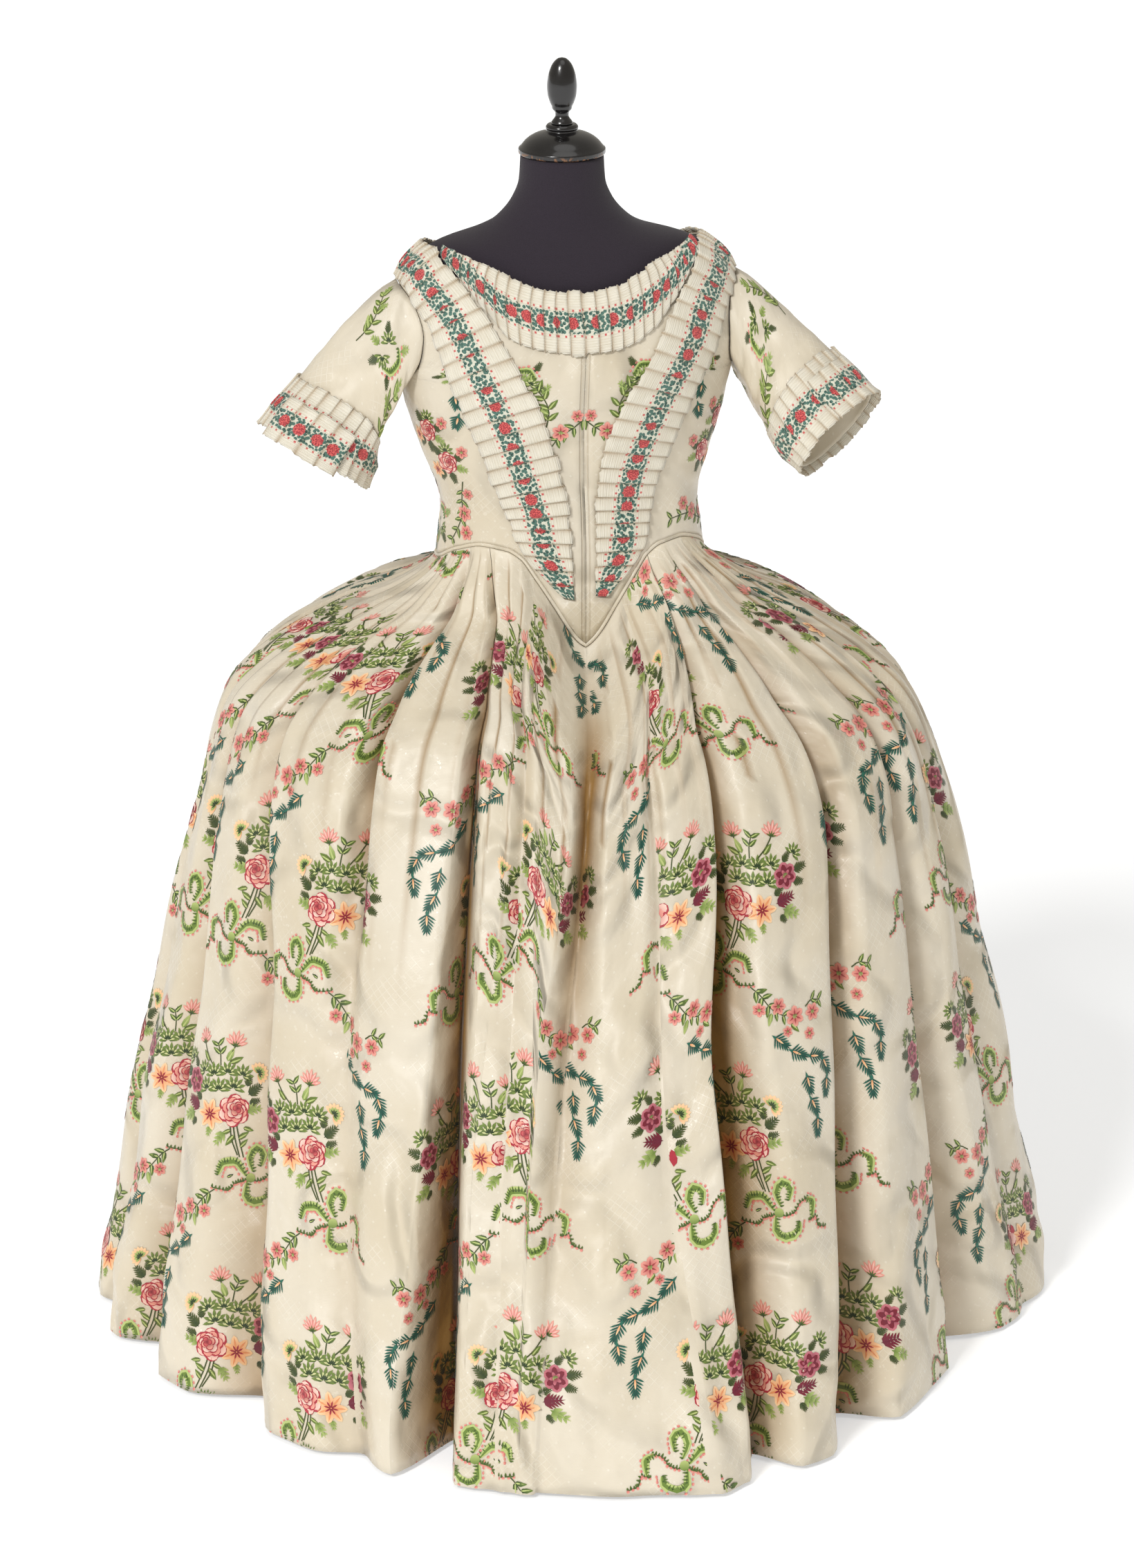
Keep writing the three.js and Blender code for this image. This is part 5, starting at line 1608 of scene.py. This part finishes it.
def brocade(name, cloth, places, outwards):
    """Lays drawings on a piece of cloth. places holds (drawing, u, v, mirror, turn) in metres."""
    bm = bmesh.new()
    bm.verts.layers.float_color.new("flower")
    bm.loops.layers.uv.new("cloth")
    hollow_layer = bm.verts.layers.float.new("hollow")
    cut = []
    for patch in CLOTHS[cloth]:
        threads = ThreadMap(patch)
        middle = patch.xyz.shape[0] // 2, patch.xyz.shape[1] // 2
        normal = threads.normal[middle[0] * patch.xyz.shape[1] + middle[1]]
        facing = 1 if normal.dot(Vector(outwards(patch.xyz[middle]))) > 0 else -1
        for drawing, u, v, mirror, turn in places:
            wide, high = REPEAT_ROOM if drawing is REPEAT else SPRIG_ROOM
            if not (threads.low[0] - wide < u < threads.high[0] + wide
                    and threads.low[1] - 0.1 < v < threads.high[1] + high):
                continue
            first = len(bm.verts)
            bm.from_mesh(drawing)
            bm.verts.ensure_lookup_table()
            c, s = math.cos(math.radians(turn)), math.sin(math.radians(turn))
            for v_index in range(first, len(bm.verts)):
                vert = bm.verts[v_index]
                x, y, lift = vert.co
                x *= mirror
                x, y = x * c + y * s, -x * s + y * c
                spot, hollow = threads.place(u + x, v + y, OUT_OF_CLOTH + lift, facing)
                if spot is None:
                    cut.append(vert)
                else:
                    vert.co = spot
                    vert[hollow_layer] = hollow
    bmesh.ops.delete(bm, geom=cut, context="VERTS")
    for face in bm.faces:
        face.smooth = True
        if face.normal.dot(Vector(outwards(np.array(face.calc_center_median())))) < 0:
            face.normal_flip()
    mesh = finished_mesh(bm, name)
    piece = new_piece(name, mesh, FLOWER_SILK)
    print(name, len(mesh.polygons), "faces")
    return piece


def embellish(node, places, outwards=away_from_stand):
    """Brocades the silk that takes the place of a solid."""
    cloth = node + "_silk"
    brocade(node + "_flowers", cloth, places, outwards)


print("threads can be looked up")

# %% Flowers on the skirt
ROW_PITCH, COLUMN_PITCH = 0.29, 0.25
# Where a rose of the lowest row lies on each width of silk: from its middle, and above the hem.
STARTS = {"skirt_front": (-0.10, 0.115), "skirt_side_left": (0.02, 0.095), "skirt_side_right": (0.06, 0.062),
          "skirt_back_left": (0.0, 0.08), "skirt_back_right": (0.06, 0.08)}


def repeat_places(patches, start, above_hem):
    """Rows of repeats that cover the patches, every other row turned over."""
    low, high = flat_box(patches)
    first = math.floor((low[0] - start) / COLUMN_PITCH) - 1
    last = math.ceil((high[0] - start) / COLUMN_PITCH) + 1
    places = []
    for row in range(5):
        v = low[1] + above_hem + row * ROW_PITCH
        for column in range(first, last + 1):
            places.append((REPEAT, start + column * COLUMN_PITCH, v, 1 if row % 2 else -1, 0))
    return places


for node, (start, above_hem) in STARTS.items():
    embellish(node, repeat_places(CLOTHS[node + "_silk"], start, above_hem))

# %% [markdown]
# ### Flowers on bodice and sleeves
# The dressmaker cut the bodice so that a garland lies across the centre front and leafy sprays
# frame the neckline. Small pieces show only parts of the pattern, so they get their own sprigs.

# %% Sprigs
def leafy(d):
    """Leaves and shells round the end of a ribbon."""
    d.loop([(-16, 4), (-6, 16), (8, 16), (16, 6)], 9, -1)
    each(d.shell, ((-10, -4, -40, 11), (8, -8, 140, 11)))
    each(d.oak, ((16, 10, 62, 18), (-4, -14, 190, 18)))
    each(d.fern, ((-14, 12, -34, 16), (-16, -8, -112, 16), (12, -14, 130, 15)))


def daisies(d):
    d.level = 0
    d.leaves([(-44, 26), (-22, 8), (-2, -6), (14, -34)], 13, 5)
    scattered_daisies(d, (-6, 2, 11, 0), (16, -8, 10, 20), (-26, 22, 8, 40))


def spray(d):
    each(d.fern, ((10, 6, 60, 20), (-10, 8, -50, 20), (4, -12, 160, 20), (-6, -12, -150, 20)))
    d.shell((-2, 16), 0, 12)
    d.oak((12, -4), 100, 20)
    d.level = 1
    d.daisy((22, 18), 9)
    star(d, -20, -14, 13)
    rose(d, 0, 0, 15)


def plume(d):
    each(d.plume, ((4, 30, 205, 22), (-6, 4, 168, 22), (0, -22, 196, 22)))


def branch(d):
    """A leafy stem that leans outwards, with broad leaves at its end."""
    d.leaves([(-4, -34), (-8, -10), (0, 10), (14, 26)], 16, 4, OLIVE, GREEN)
    each(d.oak, ((13, 25, 36, 22), (2, 12, -40, 18)))
    d.leaf((-8, -12), 60, 20, GREEN, GREEN_PALE)


LEAFY, DAISIES, SPRAY, PLUME, BRANCH = (drawn(part) for part in (leafy, daisies, spray, plume, branch))
for side, sign in SIDES:
    hand = -sign
    embellish(f"bodice_front_{side}", [
        (DAISIES, sign * 0.034, 0.195, -hand, 0), (LEAFY, sign * 0.075, 0.262, -hand, 0),
        (LEAFY, sign * 0.155, 0.285, hand, 20), (SPRAY, sign * 0.2, 0.19, hand, 10),
        (PLUME, sign * 0.15, 0.24, hand, 0), (DAISIES, sign * 0.15, 0.075, hand, 60),
        (LEAFY, sign * 0.21, 0.06, hand, 0), (SPRAY, sign * 0.17, 0.15, hand, 0),
        (BRANCH, sign * 0.05, 0.232, sign, 0),
    ])
    embellish(f"bodice_back_{side}", [
        (REPEAT, -sign * 0.1, 0.24, sign, 0), (REPEAT, -sign * 0.02, 0.5, -sign, 0),
        (SPRAY, -sign * 0.2, 0.3, sign, 0),
    ])
    sleeve = f"sleeve_{side}"
    embellish(sleeve, [
        (BRANCH, 0.035, -0.045, sign, 30), (DAISIES, 0.05, -0.1, sign, 62), (LEAFY, 0.12, -0.11, -sign, 0),
        (BRANCH, -0.05, -0.095, -sign, -50), (LEAFY, -0.1, -0.06, sign, 90), (BRANCH, -0.15, -0.05, sign, 0),
    ], away_from_middle(CLOTHS[sleeve + "_silk"][0].xyz))

# %% [markdown]
# ## What each cloth is
# Each cloth piece printed its flat size, before sewing, when it was made.

# %% Cloth facts
print("all cloth pieces are made")

# %% [markdown]
# ## Floor, light and camera
# Costume is shown on a white sweep. A broad light from the upper left gives the folds their shape,
# and the pale room and floor fill the rest. The floor glows a little, as a lit sweep does.

# %% Studio
FLOOR_GLOW, ROOM_LIGHT = 0.42, 0.4
bm = bmesh.new()
bmesh.ops.create_grid(bm, x_segments=8, y_segments=8, size=30.0)
floor = put_in_scene("studio_floor", finished_mesh(bm, "studio_floor"))
FLOOR_PAINT, _, shader = new_material("floor paint", Roughness=0.9, Emission_Strength=FLOOR_GLOW)
shader.inputs["Base Color"].default_value = srgb(244, 244, 244)
shader.inputs["Emission Color"].default_value = (0.9, 0.94, 1.0, 1.0)
floor.data.materials.append(FLOOR_PAINT)

world = bpy.data.worlds.new("studio")
world.use_nodes = True
air = world.node_tree.nodes["Background"].inputs
air["Color"].default_value = (1.0, 0.95, 0.85, 1.0)
air["Strength"].default_value = ROOM_LIGHT
bpy.context.scene.world = world
bpy.context.scene.view_settings.view_transform = "Standard"


def sun(name, place, strength, spread):
    """A distant lamp that shines from the given side; spread in degrees softens its shadows."""
    light = bpy.data.lights.new(name, "SUN")
    light.energy = strength
    light.angle = math.radians(spread)
    put_in_scene(name, light).rotation_euler = Vector(place).to_track_quat("Z", "Y").to_euler()


sun("key", (-2.0, -3.2, 2.9), 1.75, 12)
sun("top", (0.3, -0.8, 4.0), 0.35, 40)
print("lights set")

# %% Camera
camera_data = bpy.data.cameras.new("camera")
camera_data.sensor_fit = "VERTICAL"
camera_data.sensor_width = camera_data.sensor_height = 36
camera_data.lens = 149.3
camera_data.clip_end = 100
camera = put_in_scene("camera", camera_data)
camera.location = (-0.5382, -7.6108, 3.174)
camera.rotation_euler = (math.radians(90 - 18.17), 0, math.radians(-4))
bpy.context.scene.camera = camera
print("camera set")
